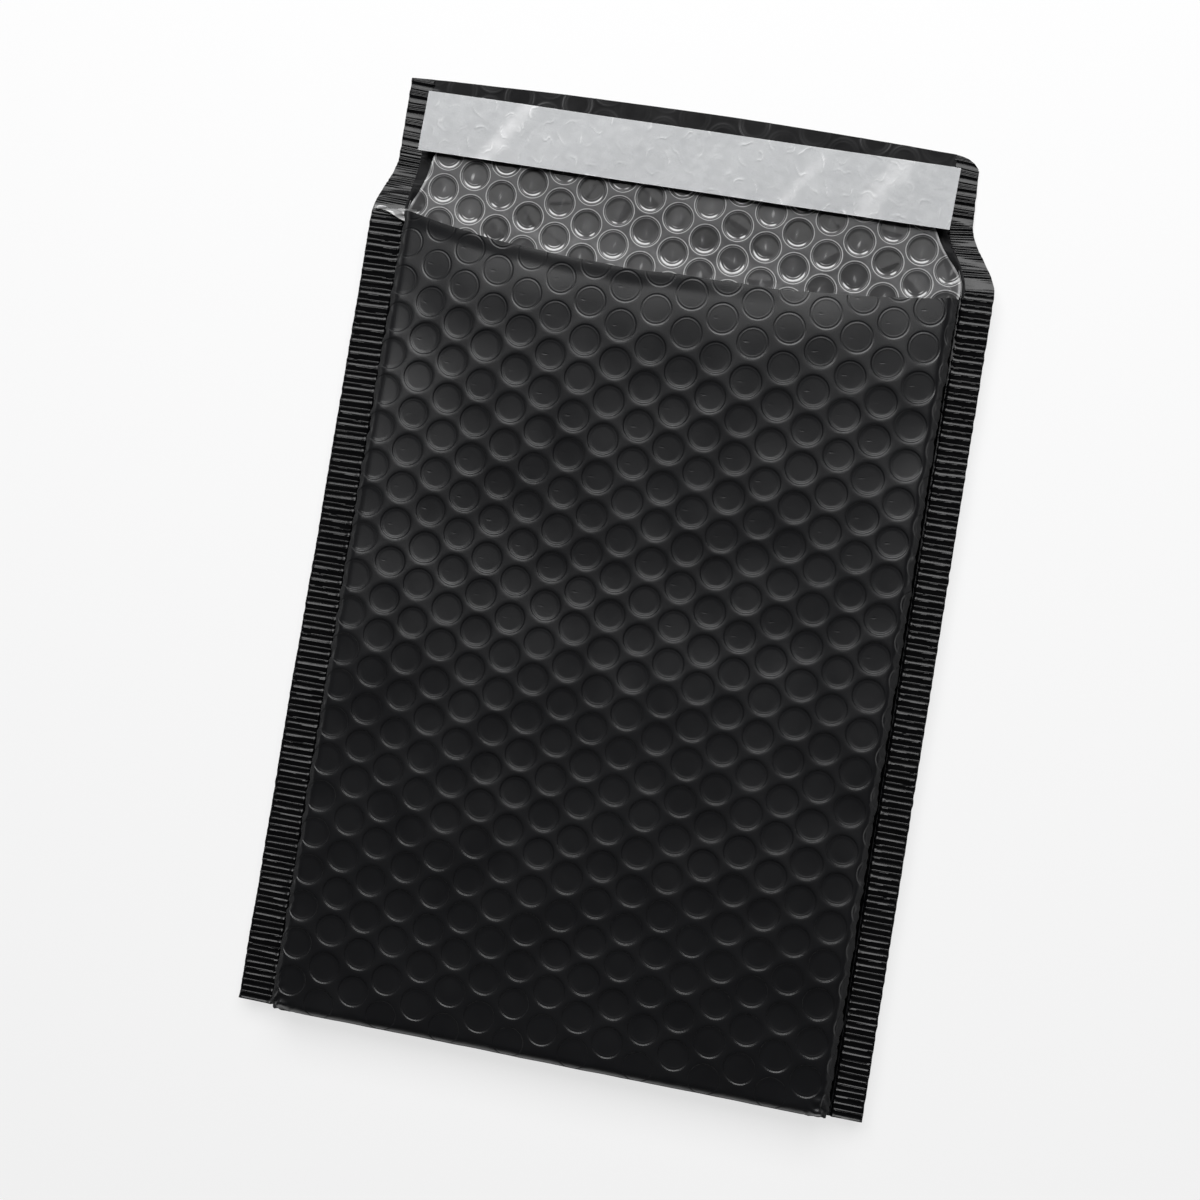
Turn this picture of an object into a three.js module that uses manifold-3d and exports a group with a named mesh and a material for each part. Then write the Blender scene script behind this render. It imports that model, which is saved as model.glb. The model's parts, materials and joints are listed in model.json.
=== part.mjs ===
// Padded envelope: a bag of black film with a clear bubble lining, two crimped side seals and an open
// flap that carries an adhesive strip under its release liner. It lies on its back, mouth towards +Y.
// Millimetres, +Z up, origin under the middle of the whole outline, on the surface it lies on.
import * as THREE from "three";
import { ConvexHull } from "three/addons/math/ConvexHull.js";
import { mergeVertices } from "three/addons/utils/BufferGeometryUtils.js";
import Module from "manifold-3d";

const wasm = await Module();
wasm.setup();

// Outline of the bag and its flap
const BAG_WIDTH = 180.6; // across the closed end
const LEFT_LEAN = 1.8; // the left side leans in by this much on its way to the mouth
const BAG_LENGTH = 230.5; // closed end to the middle of the mouth
const FLAP_LENGTH = 43; // middle of the mouth to the furthest point of the flap
const CUT_SKEW = THREE.MathUtils.degToRad(0.7); // mouth and flap are cut a little out of square
const FLAP_DROP = 4.9; // how much lower the flap's bowed end is on the right
const FLAP_PEAK = 0.22; // share of the width at which the flap's end reaches furthest
const FLAP_INSET_LEFT = 4; // the flap is narrower than the bag
const FLAP_INSET_RIGHT = 7.4;
const FLAP_TAPER_RIGHT = 2;
const INSET_LENGTH = 20; // the flap narrows over this length, from the mouth on
const CORNER_ROUND = 3.5; // the flap's right corner

// Side seals with their crimped ribs
const LEFT_SEAL = 9.9;
const RIGHT_SEAL = 8.5;
const FLAP_SEAL = 7; // on both sides of the flap
const RIB_PITCH = 3.51;
const RIB_HEIGHT = 0.9;
const FLAP_RIB_PITCH = 4.4;
const SEAL_LIFT = 4.8; // underside of the seals above the surface that the bag lies on

// Layers, from outside in, and the space they leave
const FILM = 1.2; // film with its dishes
const LAYER_GAP = 0.3;
const BUBBLE_LAYER = 2.6;
const POCKET_DEPTH = 4.9;
const SHOULDER = 4.8; // width over which a padded panel drops to its seal
const FOLD_SHOULDER = 8; // and to the fold at the closed end
const FOLD_FULLNESS = 0.45; // share of the full thickness that is left right at the fold
// The round of a shoulder as flats: share of its width, and the share of the thickness there
const SHOULDER_FLATS = [
  { width: 0.35, height: 0.78 },
  { width: 1, height: 1 },
];

// Mouth: the front panel's free edge dips in its middle and stands away from the back panel
const LIP_DIP = 8.8;
const LIP_RISE = 6.5;
const LIP_MIDDLE = 8; // x of the lowest and highest point of the free edge
const LIP_REACH = 84; // half width of the dip
const LIP_RUN = 55; // length over which the front panel rises to its free edge

// Dishes that the bubbles press into the film, in staggered columns along the bag
const DISH_PITCH = 10.6;
const DISH_DIAMETER = 9.1;
const DISH_DEPTH = 0.75;
const DISH_SIDES = 6;
const DISH_ROOM = 3; // dishes end this far before the fold
const BACK_DISH_DEPTH = 0.6;
const DISH_COLUMN_X = -0.2; // a column of dishes runs along this line
const DISH_ROW_UP = 10.2; // and one of its dishes lies this far up from the closed end

// Bubbles that show on the lining past the mouth
const BUBBLE_PITCH = 9.95;
const BUBBLE_DIAMETER = 8.4;
const BUBBLE_HEIGHT = 1.5;
const BUBBLE_SIDES = 6;
const BUBBLE_COLUMN_X = 0;
const BUBBLE_ROW_UP = 10.75; // one of that column's bubbles lies this far past the mouth
const BUBBLES_HIDDEN = 0.4; // share of a pitch that the free edge covers of the first bubbles
const BUBBLE_ROOM = 0.5; // least distance from a bubble's ring to the edge of its layer
const LINING_SETBACK = 1.5; // the lining ends this far behind the front panel's free edge
const LINING_SIDE_GAP = 1.1; // between the lining and the flap's ribs
const LINING_TAPER = 3.2; // how far the lining draws in towards the flap's end, on each side
const LINING_UNDER_LINER = 13; // how far the lining runs on under the liner

// Adhesive strip and release liner, turned a little on the flap
const LINER_WIDTH = 153.5;
const LINER_HEIGHT = 17.4;
const LINER_THICKNESS = 0.4;
const LINER_TURN = THREE.MathUtils.degToRad(-1.5);
const LINER_ASIDE = -1; // x of the liner's middle
const LINER_UP = 27.35; // the liner's middle past the mouth
const ADHESIVE_HEIGHT = 12;
const ADHESIVE_THICKNESS = 0.4;
const ADHESIVE_MARGIN = 3; // liner beyond each end of the adhesive

// Places worked out from the sizes above
const HALF_WIDTH = BAG_WIDTH / 2;
const END_Y = -(BAG_LENGTH + FLAP_LENGTH) / 2;
const FLAP_END_Y = -END_Y;
const MOUTH_Y = END_Y + BAG_LENGTH;
const LINER_MIDDLE = new THREE.Vector2(LINER_ASIDE, MOUTH_Y + LINER_UP);
const THICKNESS = 2 * (FILM + LAYER_GAP + BUBBLE_LAYER) + POCKET_DEPTH;
const COLUMN_RATIO = Math.sqrt(3) / 2;
const EDGE_STEP = 0.3; // plan width of the step from the front panel's free edge down to the flap
const SKY = THICKNESS + LIP_RISE + 10;
const LEFT_LONG = 2 * EDGE_STEP; // panels are made this much longer than their trimmed edge
const CLOSE_ROWS = 0.85 * DISH_PITCH; // spacing of points where the form bends most
const FLAP_STEP_ASIDE = 0.5; // the flap's ribs end this far from the seal's inner edge

const { clamp, lerp } = THREE.MathUtils;
const smooth = (from, to, value) => THREE.MathUtils.smoothstep(value, from, to);

// Share of the full thickness at a share of a shoulder's width
function shoulder(share) {
  let before = { width: 0, height: 0 };
  for (const flat of SHOULDER_FLATS) {
    if (share < flat.width) {
      const along = Math.max(0, share - before.width) / (flat.width - before.width);
      return before.height + along * (flat.height - before.height);
    }
    before = flat;
  }
  return before.height;
}

const mouthY = (x) => MOUTH_Y - Math.tan(CUT_SKEW) * x;
const lipY = (x) => mouthY(x) - LIP_DIP * (1 - Math.min(1, Math.abs(x - LIP_MIDDLE) / LIP_REACH) ** 2.6);
const pastMouth = (y) => smooth(MOUTH_Y, MOUTH_Y + INSET_LENGTH, y);

// End of the lining on the flap, along the liner, and its distance from the flap's ribs
function liningEndY(x) {
  const underLiner = LINING_UNDER_LINER - LINER_HEIGHT / 2;
  return LINER_MIDDLE.y + Math.tan(LINER_TURN) * (x - LINER_MIDDLE.x) + underLiner;
}
const liningAside = (y) => LINING_SIDE_GAP + LINING_TAPER * smooth(MOUTH_Y, FLAP_END_Y, y);

function flapEndY(x) {
  const across = (x + HALF_WIDTH) / BAG_WIDTH;
  return FLAP_END_Y - FLAP_DROP * ((across - FLAP_PEAK) / (1 - FLAP_PEAK)) ** 2;
}

function leftX(y) {
  const along = clamp((y - END_Y) / BAG_LENGTH, 0, 1);
  return -HALF_WIDTH + LEFT_LEAN * along + FLAP_INSET_LEFT * pastMouth(y);
}

function rightX(y) {
  const flapShare = clamp((y - MOUTH_Y) / FLAP_LENGTH, 0, 1);
  return HALF_WIDTH - FLAP_INSET_RIGHT * pastMouth(y) - FLAP_TAPER_RIGHT * flapShare;
}

const sealLeftX = (y) => leftX(y) + lerp(LEFT_SEAL, FLAP_SEAL, pastMouth(y));
const sealRightX = (y) => rightX(y) - lerp(RIGHT_SEAL, FLAP_SEAL, pastMouth(y));
const fromSeal = (x, y) => Math.min(x - sealLeftX(y), sealRightX(y) - x);

// How far the padding is swollen at a place: 0 on the seals, 1 on the flat of the bag. A face that
// lies deeper in the bag has its shoulders further in.
function fullness(x, y, depth) {
  const fold = shoulder((y - END_Y - depth) / FOLD_SHOULDER);
  const side = shoulder((fromSeal(x, y) - depth) / SHOULDER);
  return side * (FOLD_FULLNESS + (1 - FOLD_FULLNESS) * fold);
}

// Back panel's face at a depth: flat under the padding, lifted at the seals, flat again on the flap
function backZ(x, y, depth = 0) {
  return depth + SEAL_LIFT * (1 - pastMouth(y)) * (1 - fullness(x, y, depth));
}

// Front panel's face at a depth, which rises towards the panel's free edge
function frontZ(x, y, depth = 0) {
  const across = 1 - Math.min(1, Math.abs(x - LIP_MIDDLE) / LIP_REACH) ** 2;
  const rise = LIP_RISE * across * smooth(lipY(x) - LIP_RUN, lipY(x), y) ** 1.5;
  const swell = (THICKNESS - FILM + rise) * fullness(x, y, depth);
  return backZ(x, y, depth) + FILM + swell - 2 * depth;
}

// Triangles over plane points: the points are lifted onto a paraboloid, and the faces under its
// hull are their Delaunay triangles. Those whose middle lies outside the outline are left out.
function triangulate(outline, inner) {
  const points = [...outline, ...inner].map(
    ({ x, y }, i) => new THREE.Vector3(x, y, (x * x + y * y) * 0.01 + 1e-6 * Math.sin(i * 12.9898)),
  );
  points.forEach((p, i) => (p.order = i));
  const hull = new ConvexHull().setFromPoints(points);
  const triangles = [];
  for (const face of hull.faces) {
    const corners = [face.edge.head().point, face.edge.next.head().point, face.edge.prev.head().point];
    const [a, b, c] = corners;
    const area = (b.x - a.x) * (c.y - a.y) - (b.y - a.y) * (c.x - a.x);
    if (area > -1e-3) continue;
    const middle = { x: (a.x + b.x + c.x) / 3, y: (a.y + b.y + c.y) / 3 };
    if (inside(middle, outline)) triangles.push([a.order, c.order, b.order]);
  }
  return triangles;
}

function inside(point, outline) {
  let odd = false;
  outline.forEach((a, i) => {
    const b = outline[(i + 1) % outline.length];
    if (a.y > point.y === b.y > point.y) return;
    if (point.x < a.x + ((point.y - a.y) / (b.y - a.y)) * (b.x - a.x)) odd = !odd;
  });
  return odd;
}

// Closed solid between an upper and a lower sheet that share one outline, given anticlockwise.
function solidBetween(outline, upper, lower, upperZ, lowerZ) {
  const vertices = [];
  const indices = [];
  const put = (points, height) => {
    const first = vertices.length / 3;
    points.forEach((p) => vertices.push(p.x, p.y, height(p)));
    return first;
  };
  const top = put([...outline, ...upper], upperZ);
  const bottom = put([...outline, ...lower], lowerZ);
  triangulate(outline, upper).forEach(([a, b, c]) => indices.push(top + a, top + b, top + c));
  triangulate(outline, lower).forEach(([a, b, c]) => indices.push(bottom + a, bottom + c, bottom + b));
  outline.forEach((_, i) => {
    const j = (i + 1) % outline.length;
    indices.push(top + i, bottom + i, bottom + j);
    indices.push(top + i, bottom + j, top + j);
  });
  const geometry = new THREE.BufferGeometry();
  geometry.setAttribute("position", new THREE.Float32BufferAttribute(vertices, 3));
  geometry.setIndex(indices);
  return toManifold(geometry);
}

function toManifold(geometry) {
  const bare = geometry.clone();
  bare.deleteAttribute("normal");
  bare.deleteAttribute("uv");
  const merged = mergeVertices(bare, 1e-4);
  return new wasm.Manifold(
    new wasm.Mesh({
      numProp: 3,
      vertProperties: merged.attributes.position.array,
      triVerts: new Uint32Array(merged.index.array),
    }),
  );
}

function toGeometry(manifold) {
  const { vertProperties, triVerts } = manifold.getMesh();
  const geometry = new THREE.BufferGeometry();
  geometry.setAttribute("position", new THREE.BufferAttribute(vertProperties, 3));
  geometry.setIndex(new THREE.BufferAttribute(triVerts, 1));
  return geometry;
}

// Evenly spaced values from one end to the other, both ends included
function spaced(from, to, step) {
  const count = Math.max(1, Math.round(Math.abs(to - from) / step));
  return Array.from({ length: count + 1 }, (_, i) => from + ((to - from) * i) / count);
}

// Heights along the seals where the ribs have their crests and valleys
function ribRows() {
  const bag = spaced(END_Y, MOUTH_Y, RIB_PITCH / 2);
  const flap = spaced(MOUTH_Y, FLAP_END_Y - 2 * CORNER_ROUND, FLAP_RIB_PITCH / 2).slice(1);
  return [...bag, ...flap].map((y, i) => ({ y, relief: i % 2 ? RIB_HEIGHT : 0 }));
}

// Centres of a staggered field of circles whose columns run along the bag
function staggered(pitch, columnX, rowY) {
  const centres = [];
  const columns = Math.ceil(HALF_WIDTH / (pitch * COLUMN_RATIO));
  const rows = Math.ceil((2 * FLAP_END_Y) / pitch);
  for (let column = -columns; column <= columns; column++) {
    for (let row = -rows; row <= rows; row++) {
      const stagger = column % 2 ? 0.5 : 0;
      centres.push({ x: columnX + column * pitch * COLUMN_RATIO, y: rowY + (row + stagger) * pitch });
    }
  }
  return centres;
}

// A ring of points with one more in its middle, which lies lower or higher than the ring
function ringWithMiddle(centre, radius, sides, ringRelief, middleRelief) {
  const ring = Array.from({ length: sides }, (_, i) => {
    const turn = (2 * Math.PI * i) / sides;
    return {
      x: centre.x + radius * Math.sin(turn),
      y: centre.y + radius * Math.cos(turn),
      relief: ringRelief,
    };
  });
  return [...ring, { ...centre, relief: middleRelief }];
}

// Outline of bag and flap, anticlockwise from the closed end's left corner
function bagOutline() {
  const rows = ribRows();
  const end = spaced(sealLeftX(END_Y), sealRightX(END_Y), 2 * DISH_PITCH);
  const flapLeft = leftX(FLAP_END_Y);
  const flapRight = rightX(FLAP_END_Y) - CORNER_ROUND;
  const flapEnd = spaced(flapRight, flapLeft, 2 * DISH_PITCH);
  const corner = [0.3, 0.6].map((share) => {
    const turn = (share * Math.PI) / 2;
    return {
      x: flapRight + CORNER_ROUND * Math.cos(turn),
      y: flapEndY(flapRight) - CORNER_ROUND * (1 - Math.sin(turn)),
      relief: 0,
    };
  });
  return [
    ...end.map((x) => ({ x, y: END_Y, relief: 0 })),
    ...rows.map(({ y, relief }) => ({ x: rightX(y), y, relief })),
    ...corner,
    ...flapEnd.map((x) => ({ x, y: flapEndY(x), relief: 0 })),
    ...rows.reverse().map(({ y, relief }) => ({ x: leftX(y), y, relief })),
  ];
}

// Points where the ribs meet the padding
function sealPoints() {
  return ribRows()
    .slice(1)
    .flatMap(({ y, relief }) => [
      { x: sealLeftX(y), y, relief },
      { x: sealRightX(y), y, relief },
    ]);
}

// Rows of points along a shoulder's flat, on a face at some depth, as far as a place on the bag
function shoulderPoints(flat, depth, step, farY) {
  const aside = depth + flat.width * SHOULDER;
  const foldY = END_Y + depth + flat.width * FOLD_SHOULDER;
  const sides = spaced(foldY + step, farY, step).flatMap((y) => [
    { x: sealLeftX(y) + aside, y, relief: 0 },
    { x: sealRightX(y) - aside, y, relief: 0 },
  ]);
  const alongFold = spaced(sealLeftX(foldY) + aside, sealRightX(foldY) - aside, CLOSE_ROWS);
  return [...sides, ...alongFold.map((x) => ({ x, y: foldY, relief: 0 }))];
}

// Points on both sides of a step that runs along the front panel's free edge
function stepPoints(offset) {
  const reach = LIP_REACH - 2 * EDGE_STEP;
  return spaced(LIP_MIDDLE - reach, LIP_MIDDLE + reach, CLOSE_ROWS)
    .filter((x) => fromSeal(x, lipY(x) + offset) > SHOULDER)
    .flatMap((x) => [
      { x, y: lipY(x) + offset, relief: 0 },
      { x, y: lipY(x) + offset + EDGE_STEP, relief: 0 },
    ]);
}

// A height for every point of an upper sheet: the front panel as far as a line along its free edge,
// and beyond that line something else
function upToEdge(offset, front, beyond) {
  return (p) => (p.y < lipY(p.x) + offset + 0.5 * EDGE_STEP ? front(p) : beyond(p));
}

// A dish next to a seal is squashed where it meets the shoulder
function offShoulder({ x, y, relief }) {
  const aside = (SHOULDER_FLATS[0].width + 0.3) * SHOULDER;
  return { x: clamp(x, sealLeftX(y) + aside, sealRightX(y) - aside), y, relief };
}

// Neighbouring dishes share their corner points, which are kept once
function unique(points) {
  const seen = new Map();
  points.forEach((p) => seen.set(p.x.toFixed(2) + " " + p.y.toFixed(2), p));
  return [...seen.values()];
}

// The film before it is hollowed: bag, seals and flap in one, with the front panel left a little long
function solidFilm() {
  const radius = DISH_DIAMETER / 2;
  const dishes = staggered(DISH_PITCH, DISH_COLUMN_X, END_Y + DISH_ROW_UP).filter(
    ({ x, y }) => fromSeal(x, y) > radius && y > END_Y + radius + DISH_ROOM && y < lipY(x) - radius - 1,
  );
  const frontDishes = dishes.flatMap((d) => ringWithMiddle(d, radius, DISH_SIDES, 0, -DISH_DEPTH));
  const toCorner = DISH_PITCH / Math.sqrt(3); // where three neighbouring dishes meet
  const backDishes = dishes.flatMap(({ x, y }) => [
    { x, y, relief: BACK_DISH_DEPTH },
    { x: x + toCorner, y, relief: 0 },
    { x: x - toCorner, y, relief: 0 },
  ]);
  const shoulders = (step, farY) => shoulderPoints(SHOULDER_FLATS[0], 0, step, farY);
  const upper = [
    ...sealPoints(),
    ...shoulders(RIB_PITCH, MOUTH_Y - LIP_DIP),
    ...stepPoints(LEFT_LONG),
    ...frontDishes.map(offShoulder),
  ];
  const lower = [
    ...sealPoints().filter((_, i) => i % 8 < 2), // every fourth pair
    ...shoulders(DISH_PITCH / 2, MOUTH_Y + INSET_LENGTH),
    ...unique(backDishes.map(offShoulder)),
  ];
  const upperZ = upToEdge(
    LEFT_LONG,
    ({ x, y, relief }) => frontZ(x, y) + relief,
    ({ x, y, relief }) => backZ(x, y) + FILM + (fromSeal(x, y) > FLAP_STEP_ASIDE ? RIB_HEIGHT : relief),
  );
  return solidBetween(bagOutline(), upper, lower, upperZ, ({ x, y, relief }) => backZ(x, y) + relief);
}

// Distance from the seals to the edge of a layer at some depth in the bag, which is another on the flap
function layerAside(depth, flapAside, y) {
  const bagAside = depth + SHOULDER_FLATS[0].width * SHOULDER;
  return lerp(bagAside, flapAside(y), smooth(MOUTH_Y, MOUTH_Y + LIP_DIP, y));
}

// Outline of a layer that runs on over the flap, anticlockwise
function layerOutline(depth, flapAside, endY) {
  const startY = END_Y + depth + SHOULDER_FLATS[0].width * FOLD_SHOULDER;
  const aside = (y) => layerAside(depth, flapAside, y);
  const left = (y) => sealLeftX(y) + aside(y);
  const right = (y) => sealRightX(y) - aside(y);
  const sides = [
    ...spaced(startY, MOUTH_Y - LIP_DIP - LIP_RUN, 3 * DISH_PITCH),
    ...spaced(MOUTH_Y - LIP_DIP - LIP_RUN, MOUTH_Y + INSET_LENGTH, CLOSE_ROWS).slice(1),
  ];
  const across = spaced(left(startY), right(startY), 2 * DISH_PITCH).slice(1, -1);
  const end = spaced(right(FLAP_END_Y), left(FLAP_END_Y), 2 * DISH_PITCH);
  return [
    ...across.map((x) => ({ x, y: startY, relief: 0 })),
    ...sides.map((y) => ({ x: right(y), y, relief: 0 })),
    ...end.map((x) => ({ x, y: endY(x), relief: 0 })),
    ...sides.reverse().map((y) => ({ x: left(y), y, relief: 0 })),
  ];
}

// Points of a layer along its shoulders, to a place on the bag, and where the front panel rises
const layerShoulders = (depth, farY) => shoulderPoints(SHOULDER_FLATS[1], depth, 1.5 * DISH_PITCH, farY);

function risingPoints(depth) {
  const from = MOUTH_Y - LIP_DIP - LIP_RUN;
  const aside = depth + 1.5 * SHOULDER;
  return spaced(from, MOUTH_Y - 1.5 * LIP_DIP, 1.6 * DISH_PITCH).flatMap((y) =>
    spaced(sealLeftX(y) + aside, sealRightX(y) - aside, 2.5 * DISH_PITCH).map((x) => ({ x, y, relief: 0 })),
  );
}

// The space inside a skin, with everything above the flap. The skin's free edge is its step.
function hollow(depth, edge, flapAside, flapPoints) {
  const outline = layerOutline(depth, flapAside, () => FLAP_END_Y + THICKNESS);
  const upper = [
    ...layerShoulders(depth, MOUTH_Y - LIP_DIP),
    ...risingPoints(depth),
    ...stepPoints(edge - EDGE_STEP),
  ];
  const lower = [...layerShoulders(depth, MOUTH_Y + INSET_LENGTH), ...flapPoints];
  const upperZ = upToEdge(edge - EDGE_STEP, ({ x, y }) => frontZ(x, y, depth), () => SKY);
  return solidBetween(outline, upper, lower, upperZ, ({ x, y, relief }) => backZ(x, y, depth) + relief);
}

// The lining before its pocket is cut: both panels and the tongue on the flap in one
function solidLining() {
  const depth = FILM + LAYER_GAP;
  const outline = layerOutline(depth, liningAside, liningEndY);
  const edge = LEFT_LONG - LINING_SETBACK;
  const upper = [
    ...layerShoulders(depth, MOUTH_Y - LIP_DIP),
    ...risingPoints(depth),
    ...stepPoints(edge),
  ];
  const lower = layerShoulders(depth, MOUTH_Y + INSET_LENGTH);
  const front = ({ x, y }) => frontZ(x, y, depth);
  const upperZ = upToEdge(edge, front, (p) => {
    const room = Math.max(front(p), backZ(p.x, p.y, depth) + BUBBLE_LAYER);
    return Math.min(backZ(p.x, p.y, depth + BUBBLE_LAYER) + BUBBLE_HEIGHT, room);
  });
  return solidBetween(outline, upper, lower, upperZ, ({ x, y }) => backZ(x, y, depth));
}

// Bubbles on the lining's inner face, from just behind the free edge to the end under the liner
function bubblePoints(depth, flapAside) {
  const radius = BUBBLE_DIAMETER / 2;
  return staggered(BUBBLE_PITCH, BUBBLE_COLUMN_X, MOUTH_Y + BUBBLE_ROW_UP)
    .filter(({ x, y }) => {
      const aside = Math.max(layerAside(depth, flapAside, y - radius), liningAside(y));
      const across = fromSeal(x, y) > aside + radius + BUBBLE_ROOM;
      const farY = liningEndY(x) - LINING_UNDER_LINER + radius;
      return across && y > lipY(x) - BUBBLES_HIDDEN * BUBBLE_PITCH && y < farY;
    })
    .flatMap((bubble) => ringWithMiddle(bubble, radius, BUBBLE_SIDES, -BUBBLE_HEIGHT, 0));
}

const film = solidFilm().subtract(hollow(FILM, 0, () => FLAP_STEP_ASIDE, []));
const pocketDepth = FILM + LAYER_GAP + BUBBLE_LAYER;
const pastLining = () => -1; // the pocket's cut runs past the lining's edges on the flap
const pocketFloor = bubblePoints(pocketDepth, pastLining);
const lining = solidLining().subtract(hollow(pocketDepth, -LINING_SETBACK, pastLining, pocketFloor));

// A flat strip that lies turned on the flap, at a height
function strip(name, width, height, thickness, bottomZ, material) {
  const mesh = new THREE.Mesh(new THREE.BoxGeometry(width, height, thickness), material);
  mesh.name = name;
  mesh.position.set(LINER_MIDDLE.x, LINER_MIDDLE.y, bottomZ + thickness / 2);
  mesh.rotation.z = LINER_TURN;
  return mesh;
}

function part(name, manifold, material) {
  const mesh = new THREE.Mesh(toGeometry(manifold), material);
  mesh.name = name;
  return mesh;
}

const blackFilm = new THREE.MeshStandardMaterial({ color: 0x1c1c1e, roughness: 0.45, metalness: 0 });
const clearFilm = new THREE.MeshStandardMaterial({ color: 0xb9bcc0, roughness: 0.15, metalness: 0 });
clearFilm.transparent = true;
clearFilm.opacity = 0.45;
const glue = new THREE.MeshStandardMaterial({ color: 0xd8d2bf, roughness: 0.6, metalness: 0 });
const siliconePaper = new THREE.MeshStandardMaterial({ color: 0xd2d4d8, roughness: 0.5, metalness: 0 });

const adhesiveZ = pocketDepth + LAYER_GAP;
const linerZ = adhesiveZ + ADHESIVE_THICKNESS + LAYER_GAP;
const adhesiveWidth = LINER_WIDTH - 2 * ADHESIVE_MARGIN;
const envelope = new THREE.Group();
envelope.add(part("outer_film", film, blackFilm));
envelope.add(part("bubble_lining", lining, clearFilm));
envelope.add(
  strip("adhesive_strip", adhesiveWidth, ADHESIVE_HEIGHT, ADHESIVE_THICKNESS, adhesiveZ, glue),
  strip("release_liner", LINER_WIDTH, LINER_HEIGHT, LINER_THICKNESS, linerZ, siliconePaper),
);

export default envelope;
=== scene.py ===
"""Looks of a padded envelope: black film with a clear bubble lining, lying on its back, flap open.

Every surface is worked out in millimetres as whole numpy arrays and put into Blender in metres. The
bag's own frame has +X across it, +Y from the closed end to the flap and +Z up out of its front.
"""

import json
import logging
import math
from dataclasses import dataclass
from enum import Enum
from functools import partial

import bpy
import numpy as np
from mathutils import Matrix, Vector

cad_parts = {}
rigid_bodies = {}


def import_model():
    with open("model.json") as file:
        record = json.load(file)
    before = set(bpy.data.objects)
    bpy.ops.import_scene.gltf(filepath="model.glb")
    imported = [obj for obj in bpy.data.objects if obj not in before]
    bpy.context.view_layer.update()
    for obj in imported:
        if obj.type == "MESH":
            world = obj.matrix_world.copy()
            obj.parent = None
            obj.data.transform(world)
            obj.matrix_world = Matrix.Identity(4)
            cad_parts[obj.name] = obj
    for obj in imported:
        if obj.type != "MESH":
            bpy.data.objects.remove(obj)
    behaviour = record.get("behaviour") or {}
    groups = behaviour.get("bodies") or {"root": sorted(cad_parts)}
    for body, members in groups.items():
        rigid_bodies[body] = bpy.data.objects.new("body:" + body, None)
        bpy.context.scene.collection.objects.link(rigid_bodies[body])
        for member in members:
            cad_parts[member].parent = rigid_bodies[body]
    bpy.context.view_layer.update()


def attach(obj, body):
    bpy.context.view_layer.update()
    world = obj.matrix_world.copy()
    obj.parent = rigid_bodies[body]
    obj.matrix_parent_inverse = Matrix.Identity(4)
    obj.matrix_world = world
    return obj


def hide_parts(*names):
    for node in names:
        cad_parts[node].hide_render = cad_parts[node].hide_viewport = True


Array = np.ndarray
Colour = tuple[float, float, float]
Socket = bpy.types.NodeSocket
Node = bpy.types.Node
Object = bpy.types.Object
MM = 0.001
TURN = 2.0 * math.pi
QUARTER = math.pi / 2.0
PHASES = 6.28  # spread of a random phase
FAR = 9.0  # value of a mark on an inner surface
NOISE_LOW, NOISE_HIGH = 0.35, 0.65  # where nearly all of a noise's values lie
log = logging.getLogger("padded_envelope")


class Side(Enum):
    """The two sides of the bag, seen from its front."""

    LEFT = -1
    RIGHT = 1


def smooth(low: float, high: float, value: Array) -> Array:
    """S-shaped step from 0 to 1.

    Args:
        low: value at which the step starts.
        high: value at which it is complete.
        value: where it is read.

    Returns:
        3t² − 2t³, with t the share of the way from low to high, held between 0 and 1.
    """
    t = np.clip((value - low) / (high - low), 0.0, 1.0)
    return t * t * (3.0 - 2.0 * t)


def bump(value: Array, middle: float, width: float) -> Array:
    """Bell-shaped hump: e to the power of minus the squared distance from its middle, in widths."""
    return np.exp(-(((value - middle) / width) ** 2))


def wander(x: Array, y: Array, wavelength: float, seed: int, waves: int = 7) -> Array:
    """Slow, uneven swell of a surface.

    Args:
        x: positions across, in millimetres.
        y: positions along.
        wavelength: typical distance between crests.
        seed: picks the directions and phases.
        waves: how many plane waves are added up.

    Returns:
        Sum of plane waves with random directions, scaled to a spread of about one.
    """
    rng = np.random.default_rng(seed)
    turn = rng.uniform(0.0, TURN, waves)
    phase = rng.uniform(0.0, TURN, waves)
    number = TURN * rng.uniform(0.6, 1.5, waves) / wavelength
    total = np.zeros(np.broadcast(x, y).shape)
    for k in range(waves):
        total = total + np.sin(number[k] * (x * math.cos(turn[k]) + y * math.sin(turn[k])) + phase[k])
    return total * math.sqrt(2.0 / waves)


def chance(column: Array, row: Array, salt: float) -> Array:
    """A fixed value between 0 and 1 for each cell: the fraction of a large sine of its numbers."""
    return np.mod(np.sin(column * 12.9898 + row * 78.233 + salt) * 43758.5453, 1.0)


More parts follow.
